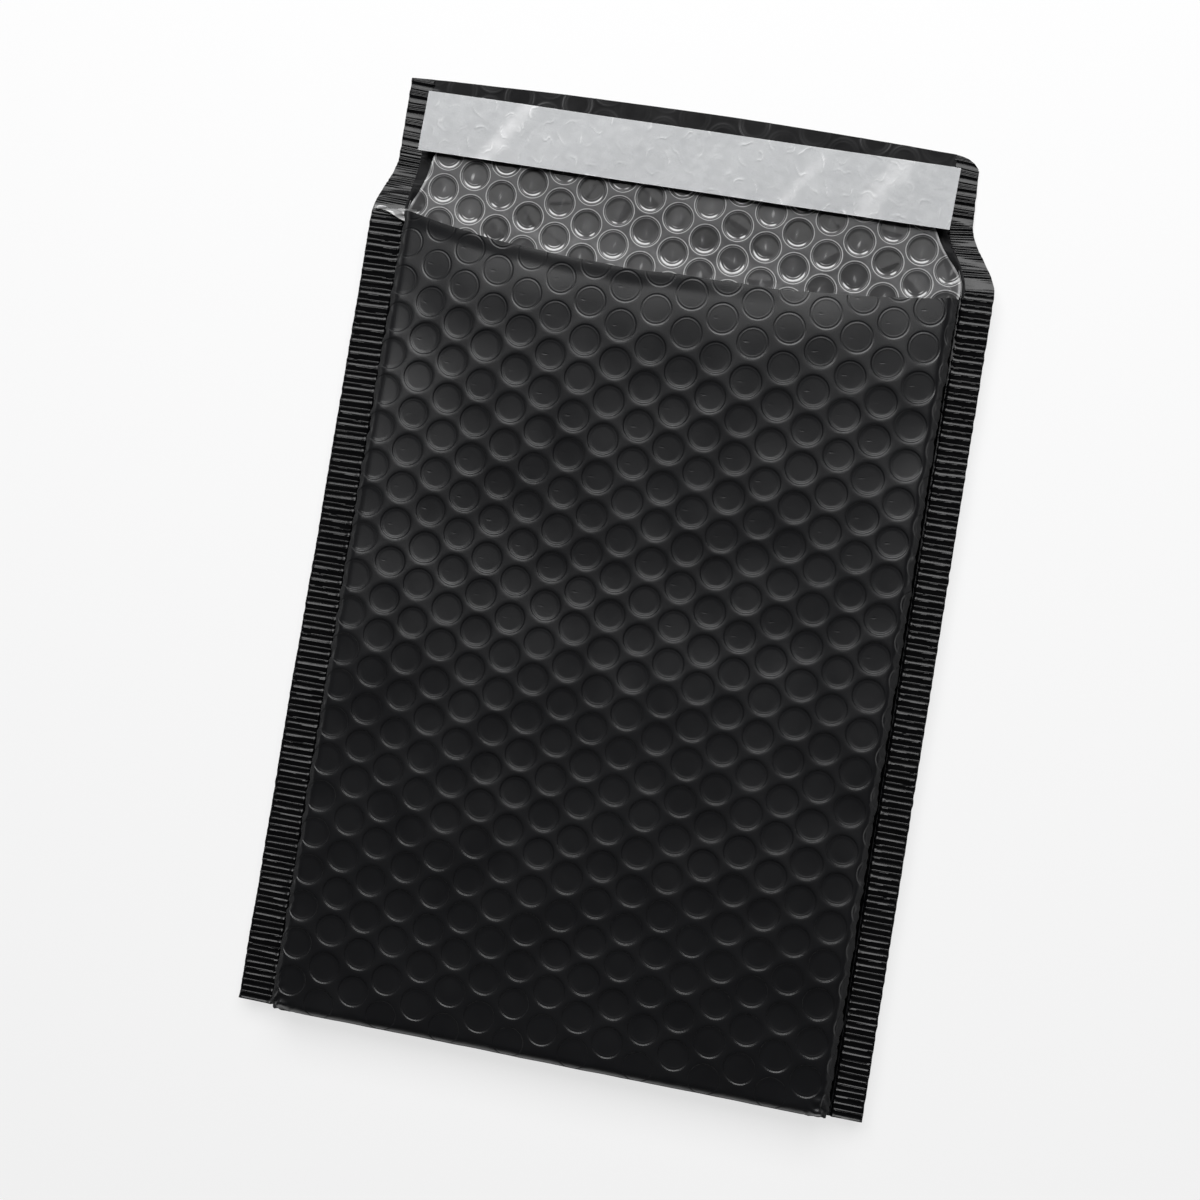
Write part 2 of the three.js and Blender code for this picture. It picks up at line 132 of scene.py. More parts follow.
@dataclass(frozen=True)
class Lattice:
    """Circles in staggered columns that run along the bag.

    Attributes:
        pitch: distance between neighbouring centres.
        column_x: one column runs along this line.
        row_y: one of its circles lies here.
    """

    pitch: float
    column_x: float
    row_y: float

    def nearest(self, x: Array, y: Array) -> tuple[Array, Array, Array, Array]:
        """Nearest centre of the lattice.

        Args:
            x: positions across.
            y: positions along.

        Returns:
            The offsets from the nearest centre, and that centre's column and row numbers.
        """
        spacing = self.pitch * math.sqrt(3.0) / 2.0
        best = None
        first = np.floor((x - self.column_x) / spacing)
        for column in (first, first + 1.0):
            stagger = 0.5 * np.mod(column, 2.0)
            row = np.round((y - self.row_y) / self.pitch - stagger)
            dx = x - self.column_x - column * spacing
            dy = y - self.row_y - (row + stagger) * self.pitch
            if best is None:
                best = (dx, dy, column, row)
            else:
                closer = dx * dx + dy * dy < best[0] ** 2 + best[1] ** 2
                best = tuple(np.where(closer, new, old) for new, old in zip((dx, dy, column, row), best))
        return best

    def scattered(self, x: Array, y: Array, spread: float, salt: float) -> tuple[Array, ...]:
        """Nearest centre of the lattice, when each is moved a little from its place.

        Args:
            x: positions across.
            y: positions along.
            spread: how far two centres can be moved apart.
            salt: picks the moves.

        Returns:
            The offsets from the moved centre, and that centre's column and row numbers.
        """
        dx, dy, column, row = self.nearest(x, y)
        dx = dx + spread * (chance(column, row, salt) - 0.5)
        dy = dy + spread * (chance(column, row, salt + 1.0) - 0.5)
        return dx, dy, column, row


@dataclass(frozen=True)
class BagForm:
    """Sizes of the whole bag in millimetres, and the lines and heights that its pieces share.

    Attributes:
        width: of the bag at its closed end.
        left_lean: how far the left edge leans in on its way to the mouth.
        bag_length: from the closed end to the mouth.
        flap_length: from the mouth to the flap's end.
        cut_skew: slope of the free edge.
        flap_drop: how far the flap's end falls to the right.
        flap_peak: where the flap's end is highest, as a share of the width.
        inset_left: how far the left edge draws in past the mouth.
        inset_right: the same for the right edge.
        taper_right: how far the right edge draws in further towards the flap's end.
        inset_length: length over which the edges draw in.
        left_seal: width of the left seal on the bag.
        right_seal: width of the right seal on the bag.
        flap_seal: width of both on the flap.
        seal_lift: height of the bag's seals over the table.
        thickness: of the bag away from the mouth.
        shoulder: width of the round beside a seal.
        fold_round: length of the round at the closed end.
        lip_dip: how far the free edge dips in its middle.
        lip_rise: how far it stands up there.
        lip_middle: where that middle lies.
        lip_reach: half the length over which it dips and rises.
        lip_run: length of the slope up to it.
        lining_floor: underside of the lining on the flap.
        rib_pitch: distance between the bag's ribs.
    """

    width: float = 180.6
    left_lean: float = 1.8
    bag_length: float = 230.5
    flap_length: float = 43.0
    cut_skew: float = math.tan(math.radians(0.7))
    flap_drop: float = 4.9
    flap_peak: float = 0.22
    inset_left: float = 4.0
    inset_right: float = 7.4
    taper_right: float = 2.0
    inset_length: float = 20.0
    left_seal: float = 9.9
    right_seal: float = 8.5
    flap_seal: float = 7.0
    seal_lift: float = 4.8
    thickness: float = 13.1
    shoulder: float = 4.2
    fold_round: float = 3.6
    lip_dip: float = 8.8
    lip_rise: float = 6.5
    lip_middle: float = 8.0
    lip_reach: float = 84.0
    lip_run: float = 110.0
    lining_floor: float = 2.6
    rib_pitch: float = 3.51

    @property
    def end_y(self) -> float:
        """Closed end of the bag."""
        return -(self.bag_length + self.flap_length) / 2.0

    @property
    def mouth_y(self) -> float:
        """Where the bag stops and the flap starts."""
        return self.end_y + self.bag_length

    def past_mouth(self, y: Array) -> Array:
        """Share of the way from the bag's shape to the flap's."""
        return smooth(self.mouth_y, self.mouth_y + self.inset_length, y)

    def lip_y(self, x: Array) -> Array:
        """Front panel's free edge: a skewed line that dips in its middle, with a slight waver.

        Args:
            x: positions across.

        Returns:
            Positions along.
        """
        across = np.minimum(1.0, np.abs(x - self.lip_middle) / self.lip_reach)
        waver = 0.22 * np.sin(x / 7.1) + 0.16 * np.sin(x / 3.3 + 1.0)
        bow = self.lip_dip * (1.0 - across**2.6)
        return self.mouth_y - self.cut_skew * x - bow + waver * (1.0 - across)

    def flap_end_y(self, x: Array) -> Array:
        """End of the flap: a shallow bow that falls to the right."""
        across = (x + self.width / 2.0) / self.width
        return -self.end_y - self.flap_drop * ((across - self.flap_peak) / (1.0 - self.flap_peak)) ** 2

    def edge_x(self, side: Side, y: Array) -> Array:
        """Outer edge of a side, which draws in past the mouth.

        Args:
            side: which side.
            y: positions along.

        Returns:
            Positions across.
        """
        if side is Side.LEFT:
            lean = self.left_lean * np.clip((y - self.end_y) / self.bag_length, 0.0, 1.0)
            return -self.width / 2.0 + lean + self.inset_left * self.past_mouth(y)
        taper = self.taper_right * np.clip((y - self.mouth_y) / self.flap_length, 0.0, 1.0)
        return self.width / 2.0 - self.inset_right * self.past_mouth(y) - taper

    def seal_x(self, side: Side, y: Array) -> Array:
        """Inner edge of a side's crimped seal.

        Args:
            side: which side.
            y: positions along.

        Returns:
            Positions across.
        """
        wide = self.left_seal if side is Side.LEFT else self.right_seal
        past = self.past_mouth(y)
        return self.edge_x(side, y) - side.value * (wide * (1.0 - past) + self.flap_seal * past)

    def seal_z(self, y: Array) -> Array:
        """Underside of the seals: lifted along the bag, down on the table along the flap."""
        return self.seal_lift * (1.0 - self.past_mouth(y))

    def rise(self, x: Array, y: Array) -> Array:
        """How far the front panel stands up towards its free edge, most in its middle.

        Args:
            x: positions across.
            y: positions along.

        Returns:
            Height to add to the bag's thickness.
        """
        across = 1.0 - np.minimum(1.0, np.abs(x - self.lip_middle) / self.lip_reach) ** 2
        lip = self.lip_y(x)
        share = np.clip((y - lip + self.lip_run) / self.lip_run, 0.0, 1.0)
        return self.lip_rise * across * (share * share * (3.0 - 2.0 * share)) ** 1.5

    def from_side(self, x: Array, y: Array) -> Array:
        """Distance from the nearer seal's inner edge."""
        return np.minimum(x - self.seal_x(Side.LEFT, y), self.seal_x(Side.RIGHT, y) - x)


FORM = BagForm()
DISHES = Lattice(pitch=10.6, column_x=-0.2, row_y=0.65)
BUBBLES = Lattice(pitch=9.95, column_x=0.0, row_y=104.5)


def closed_shell(outer: Array, inner: Array, stride: int, outer_up: bool = True) -> tuple[Array, list]:
    """Two sheets over one outline, joined along their rims into a closed shell.

    Args:
        outer: fine grid of points, columns by rows by three, columns towards +X, rows towards +Y.
        inner: coarse grid with one point for every stride-th point of the outer grid each way.
        stride: outer steps for each inner step.
        outer_up: whether the outer sheet is the upper one.

    Returns:
        The points, and arrays of faces, one array for each number of corners.
    """
    columns, rows = outer.shape[:2]
    few, less = inner.shape[:2]
    fine = np.arange(columns * rows).reshape(columns, rows)
    rough = np.arange(few * less).reshape(few, less) + columns * rows

    def quads(index: Array) -> Array:
        """Corner numbers of a sheet's squares."""
        parts = (index[:-1, :-1], index[1:, :-1], index[1:, 1:], index[:-1, 1:])
        return np.stack([p.ravel() for p in parts], axis=1)

    def rim(index: Array) -> Array:
        """Numbers of the points once round a sheet."""
        return np.concatenate([index[:-1, 0], index[-1, :-1], index[:0:-1, -1], index[0, :0:-1]])

    loop, sparse = rim(fine), rim(rough)
    count = len(sparse)
    starts = np.arange(count) * stride
    spans = [loop[(starts + k) % len(loop)] for k in range(stride, -1, -1)]
    walls = np.stack([sparse, np.roll(sparse, -1), *spans], axis=1)
    faces = [quads(fine), quads(rough)[:, ::-1], walls]
    if not outer_up:
        faces = [f[:, ::-1] for f in faces]
    return np.concatenate([outer.reshape(-1, 3), inner.reshape(-1, 3)]), faces


def as_points(x: Array, y: Array, z: Array) -> Array:
    """Grids of x, y and z as one grid of points."""
    return np.stack(np.broadcast_arrays(x, y, z), axis=-1)


class Graph:
    """The shader nodes of one material or world."""

    def __init__(self, owner: bpy.types.Material | bpy.types.World) -> None:
        """Turns on the owner's nodes.

        Args:
            owner: the material or world.
        """
        owner.use_nodes = True
        self.tree = owner.node_tree

    def feed(self, node: Node, inputs: dict) -> None:
        """Sets or links inputs of a node.

        Args:
            node: the node.
            inputs: a value, or the socket that feeds it, for each input's name or number.
        """
        for name, value in inputs.items():
            if isinstance(value, Socket):
                self.tree.links.new(value, node.inputs[name])
            else:
                node.inputs[name].default_value = value

    def add(self, kind: str, inputs: dict | None = None, **settings: str | bool) -> Node:
        """Adds a node.

        Args:
            kind: the node's type.
            inputs: a value, or the socket that feeds it, for each input's name or number.
            settings: the node's own settings.

        Returns:
            The node.
        """
        node = self.tree.nodes.new(kind)
        for name, value in settings.items():
            setattr(node, name, value)
        self.feed(node, inputs or {})
        return node

    def noise(self, size: float, detail: float) -> Socket:
        """Noise on an object's own coordinates.

        Args:
            size: typical size of a patch, in millimetres.
            detail: how many finer octaves are added.

        Returns:
            The noise's value.
        """
        place = self.add("ShaderNodeTexCoord").outputs["Object"]
        inputs = {"Vector": place, "Scale": 1.0 / (size * MM), "Detail": detail}
        return self.add("ShaderNodeTexNoise", inputs).outputs["Fac"]

    def ramp(self, value: Socket, stops: dict[float, Colour]) -> Socket:
        """Colour that goes through given colours.

        Args:
            value: where the ramp is read.
            stops: colour at each of its places, from low to high.

        Returns:
            The colour socket.
        """
        ramp = self.add("ShaderNodeValToRGB", {"Fac": value})
        elements = ramp.color_ramp.elements
        places = list(stops)
        elements[0].position, elements[1].position = places[0], places[-1]
        for place in places[1:-1]:
            elements.new(place)
        for element, place in zip(elements, places):
            element.color = (*stops[place], 1.0)
        return ramp.outputs["Color"]

    def mark(self, name: str) -> Socket:
        """A named value that the mesh carries."""
        return self.add("ShaderNodeAttribute", attribute_name=name).outputs["Fac"]

    def slope(self, value: Socket, low: float, high: float, start: float, end: float) -> Socket:
        """S-shaped step between two heights.

        Args:
            value: the socket that is read.
            low: value where the step starts.
            high: value where it ends.
            start: height before it.
            end: height after it.

        Returns:
            The height's socket.
        """
        inputs = {"Value": value, "From Min": low, "From Max": high, "To Min": start, "To Max": end}
        step = self.add("ShaderNodeMapRange", inputs, interpolation_type="SMOOTHSTEP")
        return step.outputs["Result"]

    def combine(self, how: str, first: Socket, second: Socket) -> Socket:
        """One operation on two sockets."""
        return self.add("ShaderNodeMath", {0: first, 1: second}, operation=how).outputs[0]

    def ring(self, value: Socket, place: float, width: float, top: float) -> Socket:
        """Hump at one distance from a middle, so a ring round it.

        Args:
            value: the distance's socket.
            place: the ring's radius.
            width: how far it reaches to both sides.
            top: its height.

        Returns:
            The ring's socket.
        """
        inner = self.slope(value, place - width, place, 0.0, top)
        outer = self.slope(value, place, place + width, 1.0, 0.0)
        return self.combine("MULTIPLY", inner, outer)

    def emboss(self, shader: Node, height: Socket) -> Socket:
        """Adds a relief in millimetres to the one that a shader has.

        Args:
            shader: the material's main shader.
            height: the relief.

        Returns:
            The new normal's socket.
        """
        grain = shader.inputs["Normal"].links[0].from_socket
        relief = self.add("ShaderNodeBump", {"Distance": MM, "Normal": grain, "Height": height})
        self.feed(shader, {"Normal": relief.outputs["Normal"]})
        return relief.outputs["Normal"]


@dataclass(frozen=True)
class Finish:
    """A procedural finish with colour, roughness and a fine relief that all vary over the surface.

    Attributes:
        name: the material's name.
        slot: the record's slot that it stands for; not used by this script.
        dark: colour of the darker places.
        light: colour of the lighter places.
        patch: size of the colour patches, in millimetres.
        sleek: roughness of the smoother places.
        dull: roughness of the duller places.
        grain: size of the fine relief, in millimetres.
        grain_depth: its depth, in millimetres.
        gloss: strength of the reflection seen straight on.
    """

    name: str
    slot: str
    dark: Colour
    light: Colour
    patch: float
    sleek: float
    dull: float
    grain: float
    grain_depth: float
    gloss: float = 0.5

    def material(self) -> bpy.types.Material:
        """Makes the material once. The pieces that have this finish share it.

        Returns:
            The material.
        """
        found = bpy.data.materials.get(self.name)
        if found:
            return found
        material = bpy.data.materials.new(self.name)
        graph = Graph(material)
        shader = graph.tree.nodes["Principled BSDF"]
        graph.feed(shader, {"Base Color": self.colour(graph), "Specular IOR Level": self.gloss})
        spread = {"From Min": NOISE_LOW, "From Max": NOISE_HIGH, "To Min": self.sleek, "To Max": self.dull}
        spread["Value"] = graph.noise(0.6 * self.patch, 3.0)
        rough = graph.add("ShaderNodeMapRange", spread)
        grain = {"Distance": self.grain_depth * MM, "Height": graph.noise(self.grain, 2.0)}
        relief = graph.add("ShaderNodeBump", grain)
        graph.feed(shader, {"Roughness": rough.outputs["Result"], "Normal": relief.outputs["Normal"]})
        self.dress(graph, shader)
        return material

    def colour(self, graph: Graph) -> Socket:
        """Colour that wanders in patches between the finish's dark and light colours."""
        noise = graph.noise(self.patch, 4.0)
        return graph.ramp(noise, {NOISE_LOW: self.dark, NOISE_HIGH: self.light})

    def dress(self, graph: Graph, shader: Node) -> None:
        """Extra settings of a finish. The plain finish has none."""


@dataclass(frozen=True)
class TonedFinish(Finish):
    """A finish whose colour follows a tone that the mesh carries.

    Attributes:
        middle: colour at a tone of a half. The dark one is at nought and the light one at one.
        unrest: how much a noise adds to the tone.
    """

    middle: Colour = (0.5, 0.5, 0.5)
    unrest: float = 0.15

    def tone(self, graph: Graph) -> Socket:
        """The tone that the mesh carries."""
        return graph.mark("tone")

    def colour(self, graph: Graph) -> Socket:
        """Colour by the mesh's tone, with a little noise in it.

        Args:
            graph: the material's nodes.

        Returns:
            The colour socket.
        """
        inputs = {0: graph.noise(self.patch, 4.0), 1: self.unrest, 2: self.tone(graph)}
        total = graph.add("ShaderNodeMath", inputs, operation="MULTIPLY_ADD")
        return graph.ramp(total.outputs[0], {0.0: self.dark, 0.5: self.middle, 1.0: self.light})


@dataclass(frozen=True)
class DishedFinish(Finish):
    """Film with round dishes, whose rims are sharper than the mesh can show.

    The mesh carries the distance from the nearest dish's middle, the distance from its pinch, the
    share of slackness and the share of crumpling, and the relief is worked out from them.

    Attributes:
        rim: radius at which a dish's wall ends.
        wall: width of the sharp part of the wall.
        step: depth of the sharp step, in millimetres.
        line: depth of the groove along the rim where the film is slack.
        pinch: depth of the pinch beside the middle.
        fold: height of the fine ring inside the rim.
        crumpled: roughness where the film is finely crumpled, beside its seams.
    """

    rim: float = 4.55
    wall: float = 0.42
    step: float = 0.19
    line: float = 0.034
    pinch: float = 0.035
    fold: float = 0.014
    crumpled: float = 0.9

    def dress(self, graph: Graph, shader: Node) -> None:
        """Adds the sharp rims and the pinches to the fine relief, and dulls the crumpled places.

        Args:
            graph: the material's nodes.
            shader: its main shader.
        """
        distance = graph.mark("dish_distance")
        slack = graph.mark("slack")
        step = graph.slope(distance, self.rim - self.wall, self.rim, -self.step, 0.0)
        firm = graph.slope(slack, 0.0, 1.0, 1.0, 0.2)
        inner = graph.slope(distance, self.rim - 0.75, self.rim - 0.35, 0.0, -self.line)
        outer = graph.slope(distance, self.rim - 0.35, self.rim + 0.1, 0.0, self.line)
        groove = graph.combine("MULTIPLY", graph.combine("ADD", inner, outer), slack)
        pinch = graph.slope(graph.mark("pinch_distance"), 0.05, 0.6, -self.pinch, 0.0)
        ring = graph.ring(distance, self.rim - 0.85, 0.28, self.fold)
        height = graph.combine("MULTIPLY", step, firm)
        for part in (groove, pinch, ring):
            height = graph.combine("ADD", height, part)
        graph.emboss(shader, height)
        crumpled = graph.slope(graph.mark("crumpled"), 0.0, 1.0, 0.0, self.crumpled)
        smoothness = shader.inputs["Roughness"].links[0].from_socket
        duller = graph.combine("MAXIMUM", smoothness, crumpled)
        graph.feed(shader, {"Roughness": duller})


@dataclass(frozen=True)
class ClearFinish(TonedFinish):
    """Thin clear film with bubbles: light goes nearly straight through it, and its faces are glossy.

    The mesh carries the distance from the nearest bubble's middle and where a painted highlight, a glint,
    lies on its foot.

    Attributes:
        through: share of the light that passes.
        bend: refractive index of its inside, near 1 because the film is so thin.
        face: roughness of its glossy faces.
        shine: strength of their reflections.
        foot: radius of a bubble's foot.
        weld: tone that the weld ring adds.
        fold: tone that the fine ring inside the foot adds.
        painted_glint: tone of the painted highlight on the foot, its brightest part.
        bead: height of the weld ring, in millimetres.
    """

    through: float = 0.35
    bend: float = 1.03
    face: float = 0.12
    shine: float = 0.20
    foot: float = 4.35
    weld: float = 0.36
    fold: float = 0.30
    painted_glint: float = 2.6
    bead: float = 0.05

    def tone(self, graph: Graph) -> Socket:
        """The mesh's tone with the thin rings and the painted highlights, glints, at the bubbles' feet.

        Args:
            graph: the material's nodes.

        Returns:
            The tone's socket.
        """
        distance = graph.mark("bubble_distance")
        total = graph.mark("tone")
        for place, width, top in ((0.08, 0.26, self.weld), (-0.45, 0.22, self.fold)):
            ring = graph.ring(distance, self.foot + place, width, top)
            total = graph.combine("ADD", total, ring)
        # painted highlight: bright arcs on each bubble's foot, where the mesh's painted glint mark lies
        arc = graph.ring(distance, self.foot - 0.9, 0.36, self.painted_glint)
        faint = graph.ring(distance, self.foot - 1.7, 0.3, 0.18 * self.painted_glint)
        arc = graph.combine("ADD", arc, faint)
        arc = graph.combine("MULTIPLY", arc, graph.mark("painted_glint"))
        return graph.combine("ADD", total, arc)

    def dress(self, graph: Graph, shader: Node) -> None:
        """Lets light through the film, makes its faces glossy and raises the weld rings.

        Args:
            graph: the material's nodes.
            shader: its main shader.
        """
        bead = graph.ring(graph.mark("bubble_distance"), self.foot + 0.1, 0.3, self.bead)
        inputs = {"Transmission Weight": self.through, "IOR": self.bend, "Coat Weight": self.shine}
        inputs |= {"Coat Roughness": self.face, "Coat Normal": graph.emboss(shader, bead)}
        graph.feed(shader, inputs)


DISHED_FILM = DishedFinish(
    "black_film_dished", "black_film", (0.0045, 0.0046, 0.0056), (0.0065, 0.0067, 0.0078),
    patch=18.0, sleek=0.33, dull=0.38, grain=0.35, grain_depth=0.010, gloss=0.5,
)
# Its light colour paints a highlight on the bubbles' ring marks.
FLAP_FILM = TonedFinish(
    "black_film_ringed", "black_film", (0.003, 0.003, 0.0035), (0.12, 0.12, 0.122),
    middle=(0.03, 0.03, 0.031), patch=5.0, sleek=0.28, dull=0.38, grain=0.35, grain_depth=0.006,
    gloss=0.03, unrest=0.25,
)
CRIMPED_FILM = Finish(
    "black_film_crimped", "black_film", (0.0015, 0.0015, 0.002), (0.003, 0.003, 0.0035),
    patch=6.0, sleek=0.19, dull=0.29, grain=0.5, grain_depth=0.015, gloss=0.34,
)
# The light colour also paints the highlights, glints, on the bubbles' feet.
CLEAR_FILM = ClearFinish(
    "clear_bubble_film", "clear_film", (0.015, 0.014, 0.013), (0.95, 0.95, 0.95),
    middle=(0.12, 0.12, 0.123), patch=3.0, sleek=0.3, dull=0.4, grain=4.0, grain_depth=0.003,
    unrest=0.12,
)
# Its light end paints the highlights of the streaks and edges, as well as the paler rings.
LINER_FILM = TonedFinish(
    "white_release_film", "liner", (0.31, 0.32, 0.335), (0.80, 0.80, 0.81),
    middle=(0.42, 0.43, 0.44), patch=5.0, sleek=0.24, dull=0.36, grain=1.2, grain_depth=0.02,
    unrest=0.42,
)
GLUE = Finish(
    "pale_glue", "adhesive", (0.60, 0.56, 0.46), (0.70, 0.66, 0.56),
    patch=8.0, sleek=0.3, dull=0.5, grain=0.8, grain_depth=0.03,
)


@dataclass(frozen=True, kw_only=True)
class Sheet:
    """A piece made of two surfaces over one even grid.

    Attributes:
        name: the piece's name.
        node: the solid that it replaces.
        finish: its finish.
        form: the bag's sizes.
        columns: steps of the grid across.
        rows: steps of the grid along.
        coarse: grid steps for each point of the inner surface.
        outer_up: whether the outer surface is the upper one.
        crease: edges sharper than this many degrees are shown as edges.
    """

    name: str
    node: str
    finish: Finish
    form: BagForm = FORM
    columns: int
    rows: int
    coarse: int = 4
    outer_up: bool = True
    crease: float = 60.0

    def grid(self, stride: int, low: float = 0.0, high: float = 1.0) -> tuple[Array, Array]:
        """Shares across and along, from low to high, at every stride-th step of the grid."""
        across = np.linspace(low, high, self.columns + 1)[::stride, None]
        return across, np.linspace(low, high, self.rows + 1)[::stride][None, :]

    def surface(self, stride: int, outer: bool) -> Array:
        """Points of the outer or inner surface. Each piece has its own formula.

        Args:
            stride: grid steps for each point taken.
            outer: whether it is the outer surface.

        Returns:
            Columns by rows by three.
        """
        raise NotImplementedError

    def marks(self, points: Array) -> dict[str, Array]:
        """Named values that the finish reads at the outer surface's points. Some read none."""
        return {}

    def build(self) -> Object:
        """Makes the piece, hangs it on the root body and hides the solid that it stands for.

        Returns:
            The new object, at the origin.
        """
        outer = self.surface(1, True)
        points, faces = closed_shell(outer, self.surface(self.coarse, False), self.coarse, self.outer_up)
        mesh = bpy.data.meshes.new(self.name)
        listed = [face for array in faces for face in array.tolist()]
        mesh.from_pydata((points * MM).tolist(), [], listed)
        mesh.polygons.foreach_set("use_smooth", np.ones(len(mesh.polygons), bool))
        mesh.set_sharp_from_angle(angle=math.radians(self.crease))
        for mark, values in self.marks(outer).items():
            values = np.tile(values.ravel(), 2) if self.coarse == 1 else values.ravel()
            whole = np.full(len(points), FAR, np.float32)
            whole[: values.size] = values
            mesh.attributes.new(mark, "FLOAT", "POINT").data.foreach_set("value", whole)
        mesh.materials.append(self.finish.material())
        mesh.update()
        piece = bpy.data.objects.new(self.name, mesh)
        bpy.context.scene.collection.objects.link(piece)
        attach(piece, "root")
        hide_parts(self.node)
        log.info("%s: %d points, %d faces", self.name, len(points), len(listed))
        return piece


@dataclass(frozen=True)
class DishRelief:
    """The round dishes that the bubbles behind the film press into it.

    Attributes:
        radius: of a dish's rim.
        wall: width of its sloping wall.
        depth: depth of the dishes on the flat of the bag.
        lip_depth: depth next to the free edge, where the film is slack.
        bowl: share of the depth that its floor falls from its wall to its middle.
        unlike: how much depths differ from dish to dish.
    """

    radius: float = 4.75
    wall: float = 0.95
    depth: float = 0.31
    lip_depth: float = 0.04
    bowl: float = 0.2
    unlike: float = 0.25

    def marks(self, x: Array, y: Array, lip_y: Array) -> dict[str, Array]:
        """Distances from the nearest dish's middle and from its pinch, and how slack the film is.

        Every dish is moved and stretched a little from its place in the lattice.

        Args:
            x: positions across.
            y: positions along.
            lip_y: the free edge's place at the same x.

        Returns:
            Named values at each point.
        """
        dx, dy, column, row = DISHES.scattered(x, y, 0.4, 1.0)
        luck = partial(chance, column, row)
        size = 1.0 + 0.05 * (luck(3.0) - 0.5)
        turn = np.arctan2(dy, dx)
        r = np.hypot(dx, dy) / size * (1.0 + 0.01 * np.sin(2.0 * turn + PHASES * luck(4.0)))
        lean = luck(6.0)
        pinch = np.hypot(0.5 * (dx + 1.7 * (0.8 + 0.4 * lean)), 1.3 * (dy - 0.8 * (lean - 0.5)))
        pinch = pinch + 3.0 * (luck(7.0) < 0.25) + 3.0 * smooth(-10.0, -60.0, y)
        slack = smooth(30.0, 6.0, lip_y - y)
        return {"dish_distance": r, "pinch_distance": pinch, "slack": slack}

    def height(self, x: Array, y: Array, lip_y: Array) -> Array:
        """Relief of the dishes on a panel.

        A dish's floor is a shallow bowl and its wall is an S-shaped step. Depths vary from dish to
        dish, and dishes near the free edge are shallow.

        Args:
            x: positions across.
            y: positions along.
            lip_y: the free edge's place at the same x.

        Returns:
            Height over the film's own surface, at most zero.
        """
        marks = self.marks(x, y, lip_y)
        r, slack = marks["dish_distance"], marks["slack"]
        _, _, column, row = DISHES.nearest(x, y)
        vary = 1.0 + self.unlike * (chance(column, row, 5.0) - 0.5)
        depth = (self.depth * (1.0 - slack) + self.lip_depth * slack) * vary
        floor = self.radius - self.wall
        bowl = self.bowl * np.clip(1.0 - (r / floor) ** 2, 0.0, 1.0)
        wall = (1.0 - self.bowl) * (1.0 - smooth(floor, self.radius, r))
        return -depth * (wall + bowl)


@dataclass(frozen=True, kw_only=True)
class Panel(Sheet):
    """A padded panel, which leaves both seals and the closed end round quarter ellipses.

    Attributes:
        relief: its dishes.
        side_turn: steps of a side shoulder.
        fold_turn: steps of the round at the closed end.
        padding: thickness of film and padding between its two surfaces.
    """

    node: str = "outer_film"
    finish: Finish = DISHED_FILM
    relief: DishRelief = DishRelief()
    side_turn: int = 12
    fold_turn: int = 12
    padding: float = 1.4

    def shares(self, stride: int) -> tuple[Array, Array, Array, Array, Array]:
        """How far the grid's lines are through each part of the panel.

        Args:
            stride: grid steps for each point taken.

        Returns:
            Shares of the near shoulder, the far shoulder and the stretch between them, and of the round
            at the closed end and the stretch past it.
        """
        step = np.arange(self.columns + 1.0)[::stride, None]
        near = np.clip(step / self.side_turn, 0.0, 1.0)
        far = np.clip((self.columns - step) / self.side_turn, 0.0, 1.0)
        middle = np.clip((step - self.side_turn) / (self.columns - 2.0 * self.side_turn), 0.0, 1.0)
        step = np.arange(self.rows + 1.0)[::stride][None, :]
        fold = np.clip(step / self.fold_turn, 0.0, 1.0)
        along = np.clip((step - self.fold_turn) / (self.rows - self.fold_turn), 0.0, 1.0)
        return near, far, middle, fold, along

    def across(self, left: Array, right: Array, near: Array, far: Array, middle: Array) -> Array:
        """Positions on lines from seal to seal, with a shoulder at both ends.

        Args:
            left: where the lines start.
            right: where they end.
            near: share of the near shoulder.
            far: share of the far shoulder.
            middle: share of the stretch between them.

        Returns:
            Positions across.
        """
        width = self.form.shoulder
        x = left + width * (1.0 - np.cos(QUARTER * near)) + middle * (right - left - 2.0 * width)
        return x + width * np.cos(QUARTER * far) * (far < 1.0)


